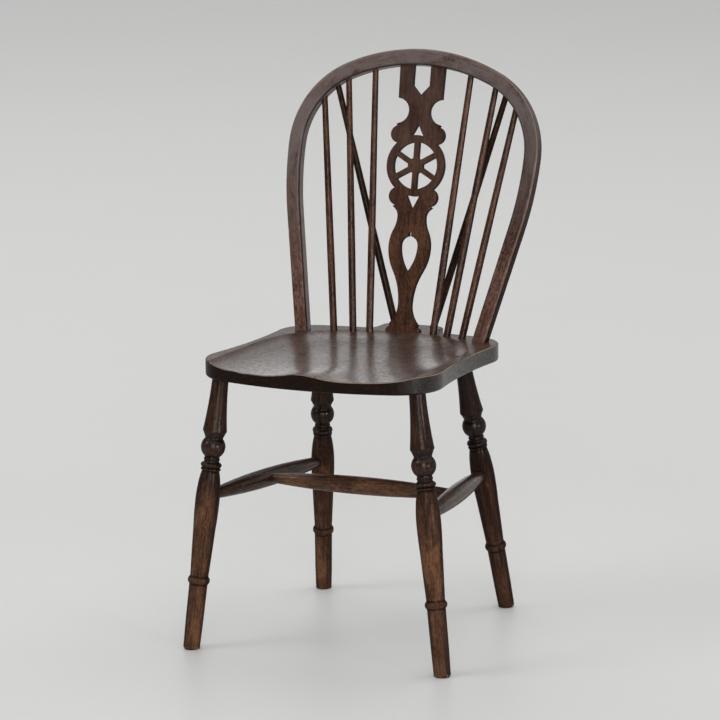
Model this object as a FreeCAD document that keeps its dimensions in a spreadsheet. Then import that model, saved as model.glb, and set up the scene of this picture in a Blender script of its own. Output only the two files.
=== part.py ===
import FreeCAD, Part
import math
import os

import Sketcher
from FreeCAD import Placement, Rotation, Vector

# Driving dimensions in millimetres, angles in degrees.
# The origin lies on the floor under the middle of the chair, the sitter faces -Y.
SIZES = (
    ("seat_height", 448, "floor to the flat ledge at the back of the seat"),
    ("seat_thickness", 27, "thickness of the seat board"),
    ("seat_front", 234, "front edge of the seat, in front of the origin"),
    ("seat_front_radius", 513, "gentle bow of the front edge"),
    ("seat_front_width", 388, "width across the front corners"),
    ("seat_corner_radius", 72, "front corners in plan"),
    ("seat_waist_width", 366, "narrowest width between the sides"),
    ("seat_waist_front", 3, "place of the waist, in front of the origin"),
    ("seat_rear", 153, "rear edge beside the tail, behind the origin"),
    ("seat_rear_radius", 900, "gentle bow of the rear edge"),
    ("seat_rear_corner_radius", 60, "rear corners in plan"),
    ("seat_askew", 10, "how far the seat and its front legs sit to the left of the back"),
    ("seat_turn", 2, "how far the seat is turned against the back, its front to the left"),
    ("seat_under_round", 4, "rounded lower edge of the seat"),
    ("seat_rim_round", 2.2, "softened rim round the top of the seat"),
    ("tail_width", 106, "width of the tail that carries the braces"),
    ("tail_rear", 203, "end of the tail, behind the origin"),
    ("tail_corner_radius", 19, "corners of the tail"),
    ("tail_root_radius", 16, "hollow where the tail meets the rear edge"),
    ("dish_depth", 12, "deepest point of the saddled seat"),
    ("dish_half_width", 172, "middle to the side border of the dish"),
    ("dish_rear", 131, "rear border of the dish, behind the origin"),
    ("dish_middle_front", 60, "widest line of the dish, in front of the origin"),
    ("dish_front_rise", 3.4, "how much shallower the dish is at the front edge"),
    ("pommel_height", 7.4, "height of the ridge between the two hollows"),
    ("pommel_half_width", 38, "half width of the ridge"),
    ("pommel_length", 125, "length of the ridge behind the front edge"),
    ("front_foot_half_spread", 208.5, "middle to the front feet"),
    ("front_foot_reach", 226.25, "front feet, in front of the origin"),
    ("back_foot_half_spread", 161, "middle to the back feet"),
    ("back_foot_reach", 177, "back feet, behind the origin"),
    ("front_top_half_spread", 162, "middle to the front legs at the seat"),
    ("front_top_reach", 181, "front legs at the seat, in front of the origin"),
    ("back_top_half_spread", 120, "middle to the back legs at the seat"),
    ("back_top_reach", 87, "back legs at the seat, behind the origin"),
    ("leg_foot_diameter", 25.6, "leg at the floor"),
    ("leg_ankle_diameter", 28, "leg just under the lower ring"),
    ("leg_ring_level", 108, "middle of the lower ring along the leg"),
    ("leg_ring_diameter", 33, "lower ring"),
    ("leg_ring_height", 11, "height of the lower ring's bead"),
    ("leg_fillet_diameter", 29.4, "small flat fillets beside the rings"),
    ("leg_fillet_height", 1.6, "height of a small flat fillet"),
    ("leg_shin_diameter", 26.8, "thin end of the vase above the lower ring"),
    ("leg_vase_diameter", 36.6, "thickest point of the vase"),
    ("leg_vase_level", 246, "thickest point of the vase along the leg"),
    ("leg_shoulder_diameter", 26.4, "thin upper end of the vase"),
    ("leg_bead_level", 291, "middle of the double bead along the leg"),
    ("leg_bead_diameter", 31.4, "double bead"),
    ("leg_bead_height", 6.4, "height of one of the two beads"),
    ("leg_neck_diameter", 22.6, "neck between the beads and the ball"),
    ("leg_ball_level", 319, "middle of the ball along the leg"),
    ("leg_ball_diameter", 36.6, "ball"),
    ("leg_ball_height", 28, "height of the ball"),
    ("leg_throat_diameter", 23.6, "throat between the ball and the cone"),
    ("leg_cone_level", 346, "thickest point of the cone along the leg"),
    ("leg_cone_diameter", 35.6, "thickest point of the cone"),
    ("leg_top_diameter", 24.4, "leg where it enters the seat"),
    ("leg_socket_depth", 17, "leg in its blind socket in the seat"),
    ("stretcher_front_level", 239, "side stretcher at the front leg, above the floor"),
    ("stretcher_back_level", 228, "side stretcher at the back leg, above the floor"),
    ("stretcher_middle_diameter", 29.6, "side stretcher at its middle"),
    ("stretcher_end_diameter", 17, "side stretcher where it enters a leg"),
    ("stretcher_set", 4, "leg's middle line to the end of a side stretcher"),
    ("cross_middle_diameter", 28.6, "cross stretcher at its middle"),
    ("cross_end_diameter", 16, "cross stretcher where it enters a side stretcher"),
    ("cross_set", 3, "side stretcher's middle line to the cross stretcher's end"),
    ("bow_front", 100.25, "middle of the bow's feet, behind the origin"),
    ("bow_lean", 16.4, "backward lean of the bow"),
    ("bow_turn", 1.4, "how far the bow is turned to the right in its own plane"),
    ("bow_rise", 460, "seat to the top of the bow, along its lean"),
    ("bow_width", 430, "greatest outer width of the bow"),
    ("bow_foot_width", 326, "outer width of the bow at the seat"),
    ("bow_crown_radius", 306, "outer radius over the top"),
    ("bow_shoulder_radius", 148, "outer radius of the shoulders"),
    ("bow_flank_radius", 560, "outer radius of the flanks under the shoulders"),
    ("bow_depth", 21, "bow from front to back"),
    ("bow_crown_face", 26, "width of the bow's face at the top"),
    ("bow_foot_face", 22, "width of the bow's face at the seat"),
    ("bow_arris", 4.5, "rounded arrises of the bow"),
    ("bow_tenon_diameter", 16, "round tenons of the bow's feet, right through the seat"),
    ("wedge_width", 14, "wedges in the bow's tenons, side to side"),
    ("wedge_length", 15, "wedges, bottom to top"),
    ("wedge_thick_end", 2.6, "wedges at the underside of the seat"),
    ("wedge_thin_end", 0.8, "wedges at their upper end"),
    ("stick_foot_diameter", 11.4, "sticks at the seat"),
    ("stick_middle_diameter", 11.8, "sticks at their thickest"),
    ("stick_top_diameter", 9.6, "sticks where they enter the bow"),
    ("stick_socket_depth", 14, "sticks in their blind sockets in the seat"),
    ("stick_top_length", 16, "parallel upper end of a stick"),
    ("inner_stick_seat_x", 54.6, "inner sticks at the seat, from the middle"),
    ("inner_stick_seat_y", 128.8, "inner sticks at the seat, behind the origin"),
    ("inner_stick_bow_x", 83, "inner sticks in the bow, from the middle"),
    ("middle_stick_seat_x", 80.7, "middle sticks at the seat, from the middle"),
    ("middle_stick_seat_y", 122, "middle sticks at the seat, behind the origin"),
    ("middle_stick_bow_x", 128, "middle sticks in the bow, from the middle"),
    ("outer_stick_seat_x", 110, "outer sticks at the seat, from the middle"),
    ("outer_stick_seat_y", 112.5, "outer sticks at the seat, behind the origin"),
    ("outer_stick_bow_x", 167, "outer sticks in the bow, from the middle"),
    ("brace_seat_x", 33, "braces in the tail, from the middle"),
    ("brace_seat_y", 185, "braces in the tail, behind the origin"),
    ("brace_bow_x", 148, "braces in the bow, from the middle"),
    ("splat_seat_y", 137.7, "middle of the splat at the seat, behind the origin"),
    ("splat_thickness", 9.4, "thickness of the splat"),
    ("splat_tenon_width", 40, "tenon at the splat's foot"),
    ("splat_tenon_thickness", 7, "thickness of that tenon"),
    ("splat_tenon_depth", 14, "depth of that tenon in the seat"),
    ("splat_base_half", 29.5, "half width of the splat at the seat"),
    ("splat_step_half", 22.6, "half width above the foot moulding"),
    ("splat_step_level", 7.6, "top of the foot moulding"),
    ("splat_nib_size", 2, "the little square nibs of the outline"),
    ("splat_base_radius", 8.4, "rounded foot moulding"),
    ("splat_waist_half", 11, "half width at the lower waist"),
    ("splat_waist_level", 43, "lower waist"),
    ("splat_waist_radius", 110, "long hollow above the lower waist"),
    ("splat_swell_half", 35, "half width at the swell round the teardrop"),
    ("splat_swell_level", 135, "the swell"),
    ("splat_swell_radius", 60, "curve above the swell"),
    ("splat_neck_half", 23.5, "half width at the neck under the wheel"),
    ("splat_neck_level", 183, "the neck"),
    ("splat_lobe_half", 31, "half width at the foot of the lower lobe"),
    ("splat_lobe_level", 197, "foot of the lower lobe"),
    ("splat_lobe_radius", 14.5, "lower lobe"),
    ("wheel_level", 265, "middle of the wheel above the seat, along the splat"),
    ("wheel_radius", 49, "outer radius of the wheel"),
    ("wheel_inner_radius", 37.5, "inner radius of the wheel's rim"),
    ("wheel_hub_radius", 12.5, "hub of the wheel"),
    ("wheel_spoke_half", 4, "half width of a spoke"),
    ("wheel_lower_half", 32.5, "half width where the lower lobe meets the rim"),
    ("wheel_upper_half", 34, "half width where the upper lobe meets the rim"),
    ("splat_crest_half", 35.5, "half width at the top of the upper lobe"),
    ("splat_crest_level", 328, "top of the upper lobe"),
    ("splat_crest_radius", 14.3, "upper lobe"),
    ("splat_notch_half", 17.5, "half width at the bottom of the round notch"),
    ("splat_notch_level", 352, "middle of the round notch"),
    ("splat_prong_half", 37, "half width at the foot of the prongs"),
    ("splat_prong_level", 372, "foot of the prongs"),
    ("splat_turn", 0.4, "how far the splat is turned to the right in its own plane"),
    ("splat_prong_top_half", 38.5, "half width of the prongs at the bow"),
    ("prong_gap_half", 14.5, "half width of the gap between the prongs"),
    ("prong_gap_level", 393, "foot of the gap's straight sides"),
    ("prong_gap_bottom", 377, "point at the bottom of the gap"),
    ("upper_eye_half", 10, "half width of the three-sided hole over the wheel"),
    ("upper_eye_top", 332, "point of that hole"),
    ("lower_eye_half", 11.5, "half width of the three-sided hole under the wheel"),
    ("lower_eye_bottom", 194, "point of that hole"),
    ("drop_half", 14.8, "half width of the teardrop hole"),
    ("drop_level", 137.5, "widest line of the teardrop"),
    ("drop_bottom", 95, "point of the teardrop"),
    ("drop_slot_half", 2.2, "half width of the slot over the teardrop"),
    ("drop_slot_top", 158.5, "top of that slot"),
    ("joint_fit", 0.1, "room for glue round a tenon in its socket"),
)

VALUES = {name: value for name, value, note in SIZES}

doc = FreeCAD.newDocument("wheelback_chair")
sheet = doc.addObject("Spreadsheet::Sheet", "Sizes")
for row, (name, value, note) in enumerate(SIZES, start=1):
    sheet.set("A%d" % row, name)
    sheet.set("B%d" % row, str(value))
    sheet.setAlias("B%d" % row, name)
    sheet.set("C%d" % row, note)
doc.recompute()


class Size:
    """A number together with the expression over the sheet that gives it."""

    def __init__(self, value, text):
        self.value = float(value)
        self.text = text

    def __add__(self, other):
        other = as_size(other)
        return Size(self.value + other.value, "(%s + %s)" % (self.text, other.text))

    def __radd__(self, other):
        return as_size(other) + self

    def __sub__(self, other):
        other = as_size(other)
        return Size(self.value - other.value, "(%s - %s)" % (self.text, other.text))

    def __rsub__(self, other):
        return as_size(other) - self

    def __mul__(self, other):
        other = as_size(other)
        return Size(self.value * other.value, "(%s * %s)" % (self.text, other.text))

    def __rmul__(self, other):
        return as_size(other) * self

    def __truediv__(self, other):
        other = as_size(other)
        return Size(self.value / other.value, "(%s / %s)" % (self.text, other.text))

    def __neg__(self):
        return 0 - self


def as_size(number):
    """A plain number as a Size."""
    if isinstance(number, Size):
        return number
    return Size(number, "%.10g" % number)


def cell(name):
    """The driving dimension of that name."""
    return Size(VALUES[name], "Sizes." + name)


def root(size):
    """Square root."""
    return Size(math.sqrt(size.value), "sqrt(%s)" % size.text)


def sine(size):
    """Sine of an angle in degrees."""
    return Size(math.sin(math.radians(size.value)), "sin(%s)" % size.text)


def cosine(size):
    """Cosine of an angle in degrees."""
    return Size(math.cos(math.radians(size.value)), "cos(%s)" % size.text)


def number(value):
    """The plain value of a Size or a number."""
    return as_size(value).value


def named(name, size):
    """Keep a worked-out size under a name of its own, bound to its expression."""
    holder = doc.getObject("Derived") or doc.addObject("App::VarSet", "Derived")
    holder.addProperty("App::PropertyFloat", name, "Derived")
    holder.setExpression(name, size.text)
    return Size(size.value, "Derived." + name)


def distance(start, end):
    """Length of the straight line between two points."""
    x, y, z = (b - a for a, b in zip(start, end))
    return root(x * x + y * y + z * z)


def between(start, end, share):
    """The point that lies at a share of the way from one point to another."""
    return tuple(a + (b - a) * share for a, b in zip(start, end))


def rise_radius(chord, rise):
    """Radius of the arc over a chord that rises by the given amount."""
    return (chord * chord / 4 + rise * rise) / (2 * rise)


def aim(piece, start, end, shift=0):
    """Bind a piece's place: its Z axis runs from start to end, shift moves it along that axis."""
    x, y, z = (b - a for a, b in zip(start, end))
    turn = "rotation(vector(%s; %s; 0); atan2(%s; %s))" % ((-y).text, x.text, root(x * x + y * y).text, z.text)
    corner = "vector(%s; %s; %s)" % tuple(as_size(value).text for value in start)
    slide = "placement(vector(0; 0; %s); rotation(vector(0; 0; 1); 0))" % as_size(shift).text
    piece.setExpression("Placement", "placement(%s; %s) * %s" % (corner, turn, slide))


def leaning(start, angle_text, turn, level=0):
    """Place of a leaning piece as an expression.

    It stands at start and is turned about the X direction, and before that to the right
    in its own plane, about its middle at the given level.
    """
    corner = "vector(%s; %s; %s)" % tuple(as_size(value).text for value in start)
    level = as_size(level)
    steps = [
        "placement(%s; rotation(vector(1; 0; 0); %s))" % (corner, angle_text),
        "placement(vector(0; 0; %s); rotation(vector(0; 1; 0); %s))" % (level.text, as_size(turn).text),
        "placement(vector(0; 0; %s); rotation(vector(0; 1; 0); 0))" % (-level).text,
    ]
    return " * ".join(steps)


class Line:
    """A straight stretch of an outline."""

    def __init__(self, x, y, smooth=False):
        self.end = (x, y)
        self.smooth = smooth


class Arc:
    """A round stretch of an outline, turning left (1) or right (-1).

    It is given by its radius, or by the level of its centre.
    """

    def __init__(self, x, y, turn, radius=None, level=None, smooth=False):
        self.end = (x, y)
        self.turn = turn
        self.radius = radius
        self.level = level
        self.smooth = smooth


class Near:
    """A coordinate that the tangent curves beside it settle, with its rough value."""

    def __init__(self, value):
        self.value = number(value)


def rough(coordinate):
    """The value of a bound or a rough coordinate."""
    return coordinate.value if isinstance(coordinate, (Size, Near)) else float(coordinate)


def arc_centre(start, end, step):
    """Centre of an outline's arc."""
    (ax, ay), (bx, by) = start, end
    if step.level is not None:
        level = number(step.level)
        gap = (by - level) ** 2 - (ay - level) ** 2
        return ((bx * bx - ax * ax + gap) / (2 * (bx - ax)), level)
    chord = math.hypot(bx - ax, by - ay)
    height = math.sqrt(max(number(step.radius) ** 2 - chord * chord / 4, 0))
    nx, ny = -(by - ay) / chord, (bx - ax) / chord
    return ((ax + bx) / 2 + step.turn * height * nx, (ay + by) / 2 + step.turn * height * ny)


def arc_shape(start, end, step):
    """An outline's arc as an edge, always running anticlockwise."""
    cx, cy = arc_centre(start, end, step)
    radius = math.hypot(start[0] - cx, start[1] - cy)
    first, last = (start, end) if step.turn > 0 else (end, start)
    begin = math.atan2(first[1] - cy, first[0] - cx)
    sweep = (math.atan2(last[1] - cy, last[0] - cx) - begin) % (2 * math.pi)
    return Part.ArcOfCircle(Part.Circle(Vector(cx, cy, 0), Vector(0, 0, 1), radius), begin, begin + sweep)


class Ties:
    """The constraints of a sketch with their expressions, added to it in one go."""

    def __init__(self):
        self.constraints = []
        self.texts = []

    def add(self, *values, text=None):
        self.constraints.append(Sketcher.Constraint(*values))
        self.texts.append(text)

    def add_size(self, kind, size, *places):
        self.add(kind, *places, size.value, text=size.text)

    def add_point(self, index, end, point):
        for kind, axis, coordinate in (("DistanceX", -2, point[0]), ("DistanceY", -1, point[1])):
            if isinstance(coordinate, Size):
                self.add_size(kind, coordinate, index, end)
            elif not isinstance(coordinate, Near):
                self.add("PointOnObject", index, end, axis)

    def add_curve(self, index, step):
        if isinstance(step.radius, Size):
            self.add_size("Radius", step.radius, index)
        if isinstance(step.level, Size):
            self.add_size("DistanceY", step.level, index, 3)

    def tie(self, sketch):
        first = len(sketch.Constraints)
        sketch.addConstraint(self.constraints)
        for place, text in enumerate(self.texts, start=first):
            if text is not None:
                sketch.setExpression("Constraints[%d]" % place, text)


def ends_of(step):
    """The numbers of the two ends of a stretch, the one where it begins first."""
    return (2, 1) if isinstance(step, Arc) and step.turn < 0 else (1, 2)


def draw(body, name, plane, start, steps, place=None, extra=()):
    """A sketch on one of a body's own planes, drawn as one chain of lines and arcs."""
    sketch = body.newObject("Sketcher::SketchObject", name)
    planes = {feature.Role: feature for feature in body.Origin.OriginFeatures}
    sketch.AttachmentSupport = [(planes[plane], "")]
    sketch.MapMode = "FlatFace"
    if place is not None:
        sketch.AttachmentOffset = place
    points = [start] + [step.end for step in steps]
    spots = [(rough(x), rough(y)) for x, y in points]
    for index, step in enumerate(steps):
        a, b = spots[index], spots[index + 1]
        if isinstance(step, Arc):
            sketch.addGeometry(arc_shape(a, b, step), False)
        else:
            sketch.addGeometry(Part.LineSegment(Vector(*a, 0), Vector(*b, 0)), False)
    count = len(steps)
    ends = [ends_of(step) for step in steps]
    closed = math.dist(spots[0], spots[-1]) < 1e-6
    ties = Ties()
    for index in range(count if closed else count - 1):
        following = (index + 1) % count
        kind = "Tangent" if steps[following].smooth else "Coincident"
        ties.add(kind, index, ends[index][1], following, ends[following][0])
    for index, step in enumerate(steps):
        ties.add_point(index, ends[index][0], points[index])
        if isinstance(step, Arc):
            ties.add_curve(index, step)
    if not closed:
        ties.add_point(count - 1, ends[count - 1][1], points[-1])
    for kind, size, *where in extra:
        if isinstance(size, Size):
            ties.add_size(kind, size, *where)
        else:
            ties.add(kind, *where)
    ties.tie(sketch)
    return sketch


def bind(feature, path, size):
    """Tie a property of a feature to an expression over the sheet."""
    feature.setExpression(path, as_size(size).text)


def pad(body, name, sketch, length, both_sides=False):
    """Extrude a sketch."""
    feature = body.newObject("PartDesign::Pad", name)
    feature.Profile = sketch
    if both_sides:
        feature.Midplane = True
    bind(feature, "Length", length)
    return feature


def pocket_through(body, name, sketch, length):
    """Cut a sketch right through, to both sides of its plane."""
    feature = body.newObject("PartDesign::Pocket", name)
    feature.Profile = sketch
    feature.Midplane = True
    bind(feature, "Length", length)
    return feature


def mirror(body, name, features, plane):
    """Repeat features on the other side of one of the body's own planes."""
    planes = {feature.Role: feature for feature in body.Origin.OriginFeatures}
    feature = body.newObject("PartDesign::Mirrored", name)
    feature.Originals = features
    feature.MirrorPlane = (planes[plane], [""])
    body.Tip = feature
    return feature


def turn_body(name, steps, start):
    """A turned piece: its half outline revolved about the Z axis."""
    body = doc.addObject("PartDesign::Body", name)
    sketch = draw(body, name + "_outline", "XZ_Plane", start, steps)
    turned = body.newObject("PartDesign::Revolution", name + "_turning")
    turned.Profile = sketch
    turned.ReferenceAxis = (sketch, ["V_Axis"])
    turned.Angle = 360
    return body


def round_tool(name, start, end, diameter, low, high):
    """A round socket tool about the line from start to end, between two distances along it."""
    tool = doc.addObject("Part::Cylinder", name)
    bind(tool, "Radius", diameter / 2 + cell("joint_fit"))
    bind(tool, "Height", high - low)
    aim(tool, start, end, low)
    return tool


def cut(name, base, tools):
    """A base shape without its tools."""
    joined = doc.addObject("Part::MultiFuse", name + "_tools")
    joined.Shapes = tools
    feature = doc.addObject("Part::Cut", name)
    feature.Base = base
    feature.Tool = joined if len(tools) > 1 else tools[0]
    if len(tools) == 1:
        doc.removeObject(joined.Name)
    feature.Label = name
    return feature


# Places that several pieces share

SEAT_UNDER = cell("seat_height") - cell("seat_thickness")


def foot_point(front, side):
    """Middle of a foot on the floor; side is 1 on the right and -1 on the left."""
    if front:
        return (cell("front_foot_half_spread") * side, -cell("front_foot_reach"), as_size(0))
    return (cell("back_foot_half_spread") * side, cell("back_foot_reach"), as_size(0))


def leg_top_point(front, side):
    """Middle of a leg at the underside of the seat."""
    if front:
        x = cell("front_top_half_spread") * side - cell("seat_askew")
        return (x, -cell("front_top_reach"), SEAT_UNDER)
    return (cell("back_top_half_spread") * side, cell("back_top_reach"), SEAT_UNDER)


def stretcher_ends(side):
    """Ends of a side stretcher's middle line, on the middle lines of its two legs."""
    ends = []
    for front, level in ((True, "stretcher_front_level"), (False, "stretcher_back_level")):
        share = cell(level) / SEAT_UNDER
        ends.append(between(foot_point(front, side), leg_top_point(front, side), share))
    return ends


def cross_ends():
    """Ends of the cross stretcher's middle line, in the middles of the side stretchers."""
    return [between(*stretcher_ends(side), as_size(0.5)) for side in (-1, 1)]


# Middle line of the bow in its own leaning plane

BOW_HALF_FACE = cell("bow_crown_face") / 2
CROWN = cell("bow_crown_radius") - BOW_HALF_FACE
SHOULDER = cell("bow_shoulder_radius") - BOW_HALF_FACE
FLANK = cell("bow_flank_radius") - BOW_HALF_FACE
CROWN_LEVEL = cell("bow_rise") - cell("bow_crown_radius")
SHOULDER_X = cell("bow_width") / 2 - cell("bow_shoulder_radius")
SHOULDER_RISE = root((CROWN - SHOULDER) * (CROWN - SHOULDER) - SHOULDER_X * SHOULDER_X)
SHOULDER_LEVEL = named("shoulder_level", CROWN_LEVEL + SHOULDER_RISE)
BOW_FOOT_X = cell("bow_foot_width") / 2 - cell("bow_foot_face") / 2
BOW_FOOT_BELOW = cell("seat_thickness") * 0.75


def bow_level(x, on_shoulder):
    """Height of the bow's middle line in its own plane, at a distance from the middle."""
    if on_shoulder:
        return SHOULDER_LEVEL + root(SHOULDER * SHOULDER - (x - SHOULDER_X) * (x - SHOULDER_X))
    return CROWN_LEVEL + root(CROWN * CROWN - x * x)


def up_the_bow(level):
    """Depth and height of a level in the bow's leaning middle plane."""
    tilt = cell("bow_lean")
    return cell("bow_front") + level * sine(tilt), cell("seat_height") + level * cosine(tilt)


def bow_point(x, level, side=1):
    """A point of the bow's middle plane, turned with the bow about the level of its shoulders."""
    turn = cell("bow_turn")
    rise = level - SHOULDER_LEVEL
    across = x * side * cosine(turn) + rise * sine(turn)
    return (across, *up_the_bow(SHOULDER_LEVEL + rise * cosine(turn) - x * side * sine(turn)))


def flank_join():
    """Where the bow's straight lower stretch touches the arc of its flank."""
    centre_x = cell("bow_width") / 2 - BOW_HALF_FACE - FLANK
    x, y = BOW_FOOT_X - centre_x, -SHOULDER_LEVEL
    away = x * x + y * y
    along = FLANK * FLANK / away
    across = FLANK * root(away - FLANK * FLANK) / away
    return (centre_x + along * x - across * y, SHOULDER_LEVEL + along * y + across * x)


FLANK_JOIN = flank_join()
BOW_FOOT_SLOPE = named("bow_foot_slope", (FLANK_JOIN[0] - BOW_FOOT_X) / FLANK_JOIN[1])


# The splat stands on the seat and leans back to the middle of the bow

SPLAT_FOOT = (as_size(0), cell("splat_seat_y"), cell("seat_height"))
PRONG_MIDDLE = (cell("splat_prong_top_half") + cell("prong_gap_half")) / 2
SPLAT_TOP_Y, SPLAT_TOP_Z = up_the_bow(bow_level(PRONG_MIDDLE, False))
SPLAT_BACK = SPLAT_TOP_Y - SPLAT_FOOT[1]
SPLAT_UP = SPLAT_TOP_Z - SPLAT_FOOT[2]
SPLAT_LENGTH = named("splat_length", root(SPLAT_BACK * SPLAT_BACK + SPLAT_UP * SPLAT_UP))
SPLAT_LEAN = "atan2(%s; %s)" % ((-SPLAT_BACK).text, SPLAT_UP.text)
SPLAT_PLACE = leaning(SPLAT_FOOT, SPLAT_LEAN, cell("splat_turn"))


def stick_top(kind, hand, side):
    """Where a stick or brace ends on the bow's middle line."""
    x = cell(kind + "_bow_x")
    on_shoulder = x.value > SHOULDER_X.value * CROWN.value / (CROWN.value - SHOULDER.value)
    top = bow_point(x, bow_level(x, on_shoulder), side)
    return tuple(named("%s_%s_top_%s" % (kind, hand, axis), size) for axis, size in zip("xyz", top))


STICK_TOPS = {
    (kind, side): stick_top(kind, hand, side)
    for kind in ("inner_stick", "middle_stick", "outer_stick", "brace")
    for hand, side in (("left", -1), ("right", 1))
}


def stick_line(kind, side):
    """Middle line of a stick or brace: its point on the seat and its end in the bow."""
    foot_x, foot_y = cell(kind + "_seat_x"), cell(kind + "_seat_y")
    return (foot_x * side, foot_y, cell("seat_height")), STICK_TOPS[kind, side]


STICKS = [
    ("stick_%s_%s" % (kind, hand), kind + "_stick", side)
    for kind in ("inner", "middle", "outer")
    for hand, side in (("left", -1), ("right", 1))
]
BRACES = [("brace_left", "brace", -1), ("brace_right", "brace", 1)]


# Seat


def circle_meet(first, first_radius, second, second_radius, side):
    """One of the two points where two circles cross."""
    away = math.dist(first, second)
    along = (away ** 2 + first_radius ** 2 - second_radius ** 2) / (2 * away)
    across = math.sqrt(first_radius ** 2 - along ** 2) * side
    ux, uy = (second[0] - first[0]) / away, (second[1] - first[1]) / away
    return (first[0] + along * ux - across * uy, first[1] + along * uy + across * ux)


def towards(start, end, length):
    """The point at a length from one point towards another."""
    share = length / math.dist(start, end)
    return (start[0] + (end[0] - start[0]) * share, start[1] + (end[1] - start[1]) * share)


def near(point):
    """A point that tangent curves settle."""
    return (Near(point[0]), Near(point[1]))


def seat_half_outline():
    """Right half of the seat in plan: front, corner, waist, rear corner, rear edge and tail."""
    front_radius, corner = VALUES["seat_front_radius"], VALUES["seat_corner_radius"]
    rear_radius, rear_corner = VALUES["seat_rear_radius"], VALUES["seat_rear_corner_radius"]
    root_radius, tail_corner = VALUES["tail_root_radius"], VALUES["tail_corner_radius"]
    front_centre = (0, front_radius - VALUES["seat_front"])
    rear_centre = (0, VALUES["seat_rear"] - rear_radius)
    waist_x, waist_y = VALUES["seat_waist_width"] / 2, -VALUES["seat_waist_front"]
    tail_x = VALUES["tail_width"] / 2

    corner_x = VALUES["seat_front_width"] / 2 - corner
    corner_y = front_centre[1] - math.sqrt((front_radius - corner) ** 2 - corner_x ** 2)
    corner_centre = (corner_x, corner_y)
    gap_x, gap_y = waist_x - corner_x, waist_y - corner_y
    waist_radius = (gap_x ** 2 + gap_y ** 2 - corner ** 2) / (2 * (corner - gap_x))
    waist_centre = (waist_x + waist_radius, waist_y)
    rear_corner_centre = circle_meet(
        rear_centre, rear_radius - rear_corner, waist_centre, waist_radius + rear_corner, 1)
    root_x = tail_x + root_radius
    root_y = rear_centre[1] + math.sqrt((rear_radius + root_radius) ** 2 - root_x ** 2)

    half_waist = cell("seat_waist_width") / 2
    waist_level = -cell("seat_waist_front")
    half_tail = cell("tail_width") / 2
    tail_end = cell("tail_rear")
    steps = [
        Arc(*near(towards(front_centre, corner_centre, front_radius)), 1, cell("seat_front_radius")),
        Arc(*near(towards(corner_centre, waist_centre, corner)), 1, cell("seat_corner_radius"), smooth=True),
        Arc(half_waist, waist_level, -1, waist_radius, waist_level, smooth=True),
        Arc(*near(towards(rear_corner_centre, waist_centre, rear_corner)), -1, waist_radius, waist_level),
        Arc(*near(towards(rear_centre, rear_corner_centre, rear_radius)), 1,
            cell("seat_rear_corner_radius"), smooth=True),
        Arc(*near(towards(rear_centre, (root_x, root_y), rear_radius)), 1,
            cell("seat_rear_radius"), smooth=True),
        Arc(half_tail, Near(root_y), -1, cell("tail_root_radius"), smooth=True),
        Line(half_tail, tail_end - cell("tail_corner_radius"), smooth=True),
        Arc(half_tail - cell("tail_corner_radius"), tail_end, 1, cell("tail_corner_radius")),
        Line(0, tail_end),
        Line(0, -cell("seat_front")),
    ]
    return steps


def make_seat_board():
    """The seat board with its tail, flat on top, with a rounded lower edge."""
    body = doc.addObject("PartDesign::Body", "seat_board")
    steps = seat_half_outline()
    rear_level = cell("seat_rear") - cell("seat_rear_radius")
    corner_x = cell("seat_front_width") / 2 - cell("seat_corner_radius")
    centres = [
        ("PointOnObject", None, 0, 3, -2),
        ("DistanceX", corner_x, 1, 3),
        ("Equal", None, 2, 3),
        ("PointOnObject", None, 5, 3, -2),
        ("DistanceY", rear_level, 5, 3),
    ]
    sketch = draw(body, "seat_outline", "XY_Plane", (0, -cell("seat_front")), steps, extra=centres)
    half = pad(body, "seat_half", sketch, cell("seat_thickness"))
    board = mirror(body, "seat_mirrored", [half], "YZ_Plane")
    doc.recompute()
    under = body.newObject("PartDesign::Fillet", "seat_under_edge")
    under.Base = (board, lower_edges(board.Shape, 0))
    bind(under, "Radius", cell("seat_under_round"))
    set_askew(body, SEAT_UNDER)
    return body


def set_askew(piece, level):
    """Bind the place of a seat shape: the seat stands a little askew under the back."""
    corner = "vector(%s; 0; %s)" % ((-cell("seat_askew")).text, level.text)
    turn = "rotation(vector(0; 0; 1); %s)" % (-cell("seat_turn")).text
    piece.setExpression("Placement", "placement(%s; %s)" % (corner, turn))


def lower_edges(shape, level):
    """Names of the outer edges that lie at a level."""
    names = []
    for index, edge in enumerate(shape.Edges, start=1):
        box = edge.BoundBox
        if abs(box.ZMin - level) < 1e-6 and abs(box.ZMax - level) < 1e-6:
            names.append("Edge%d" % index)
    return names


def dish_level(x, y):
    """Height of the saddled surface over the flat top, at a place in plan."""
    across = abs(x) / VALUES["dish_half_width"]
    middle = -VALUES["dish_middle_front"]
    length = VALUES["dish_rear"] - middle
    along = max(y - middle, 0) / length
    border = (across ** 2.5 + along ** 2.6) ** 2
    reach = VALUES["seat_front"] + middle
    forward = max(middle - y, 0) / reach
    depth = VALUES["dish_depth"] - VALUES["dish_front_rise"] * forward ** 2
    ramp = min(max(1 - (y + VALUES["seat_front"]) / VALUES["pommel_length"], 0), 1.1)
    ridge = VALUES["pommel_height"] * math.exp(-(x / VALUES["pommel_half_width"]) ** 2)
    return depth * (border - 1) + ridge * ramp ** 2 * (3 - 2 * min(ramp, 1))


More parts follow.
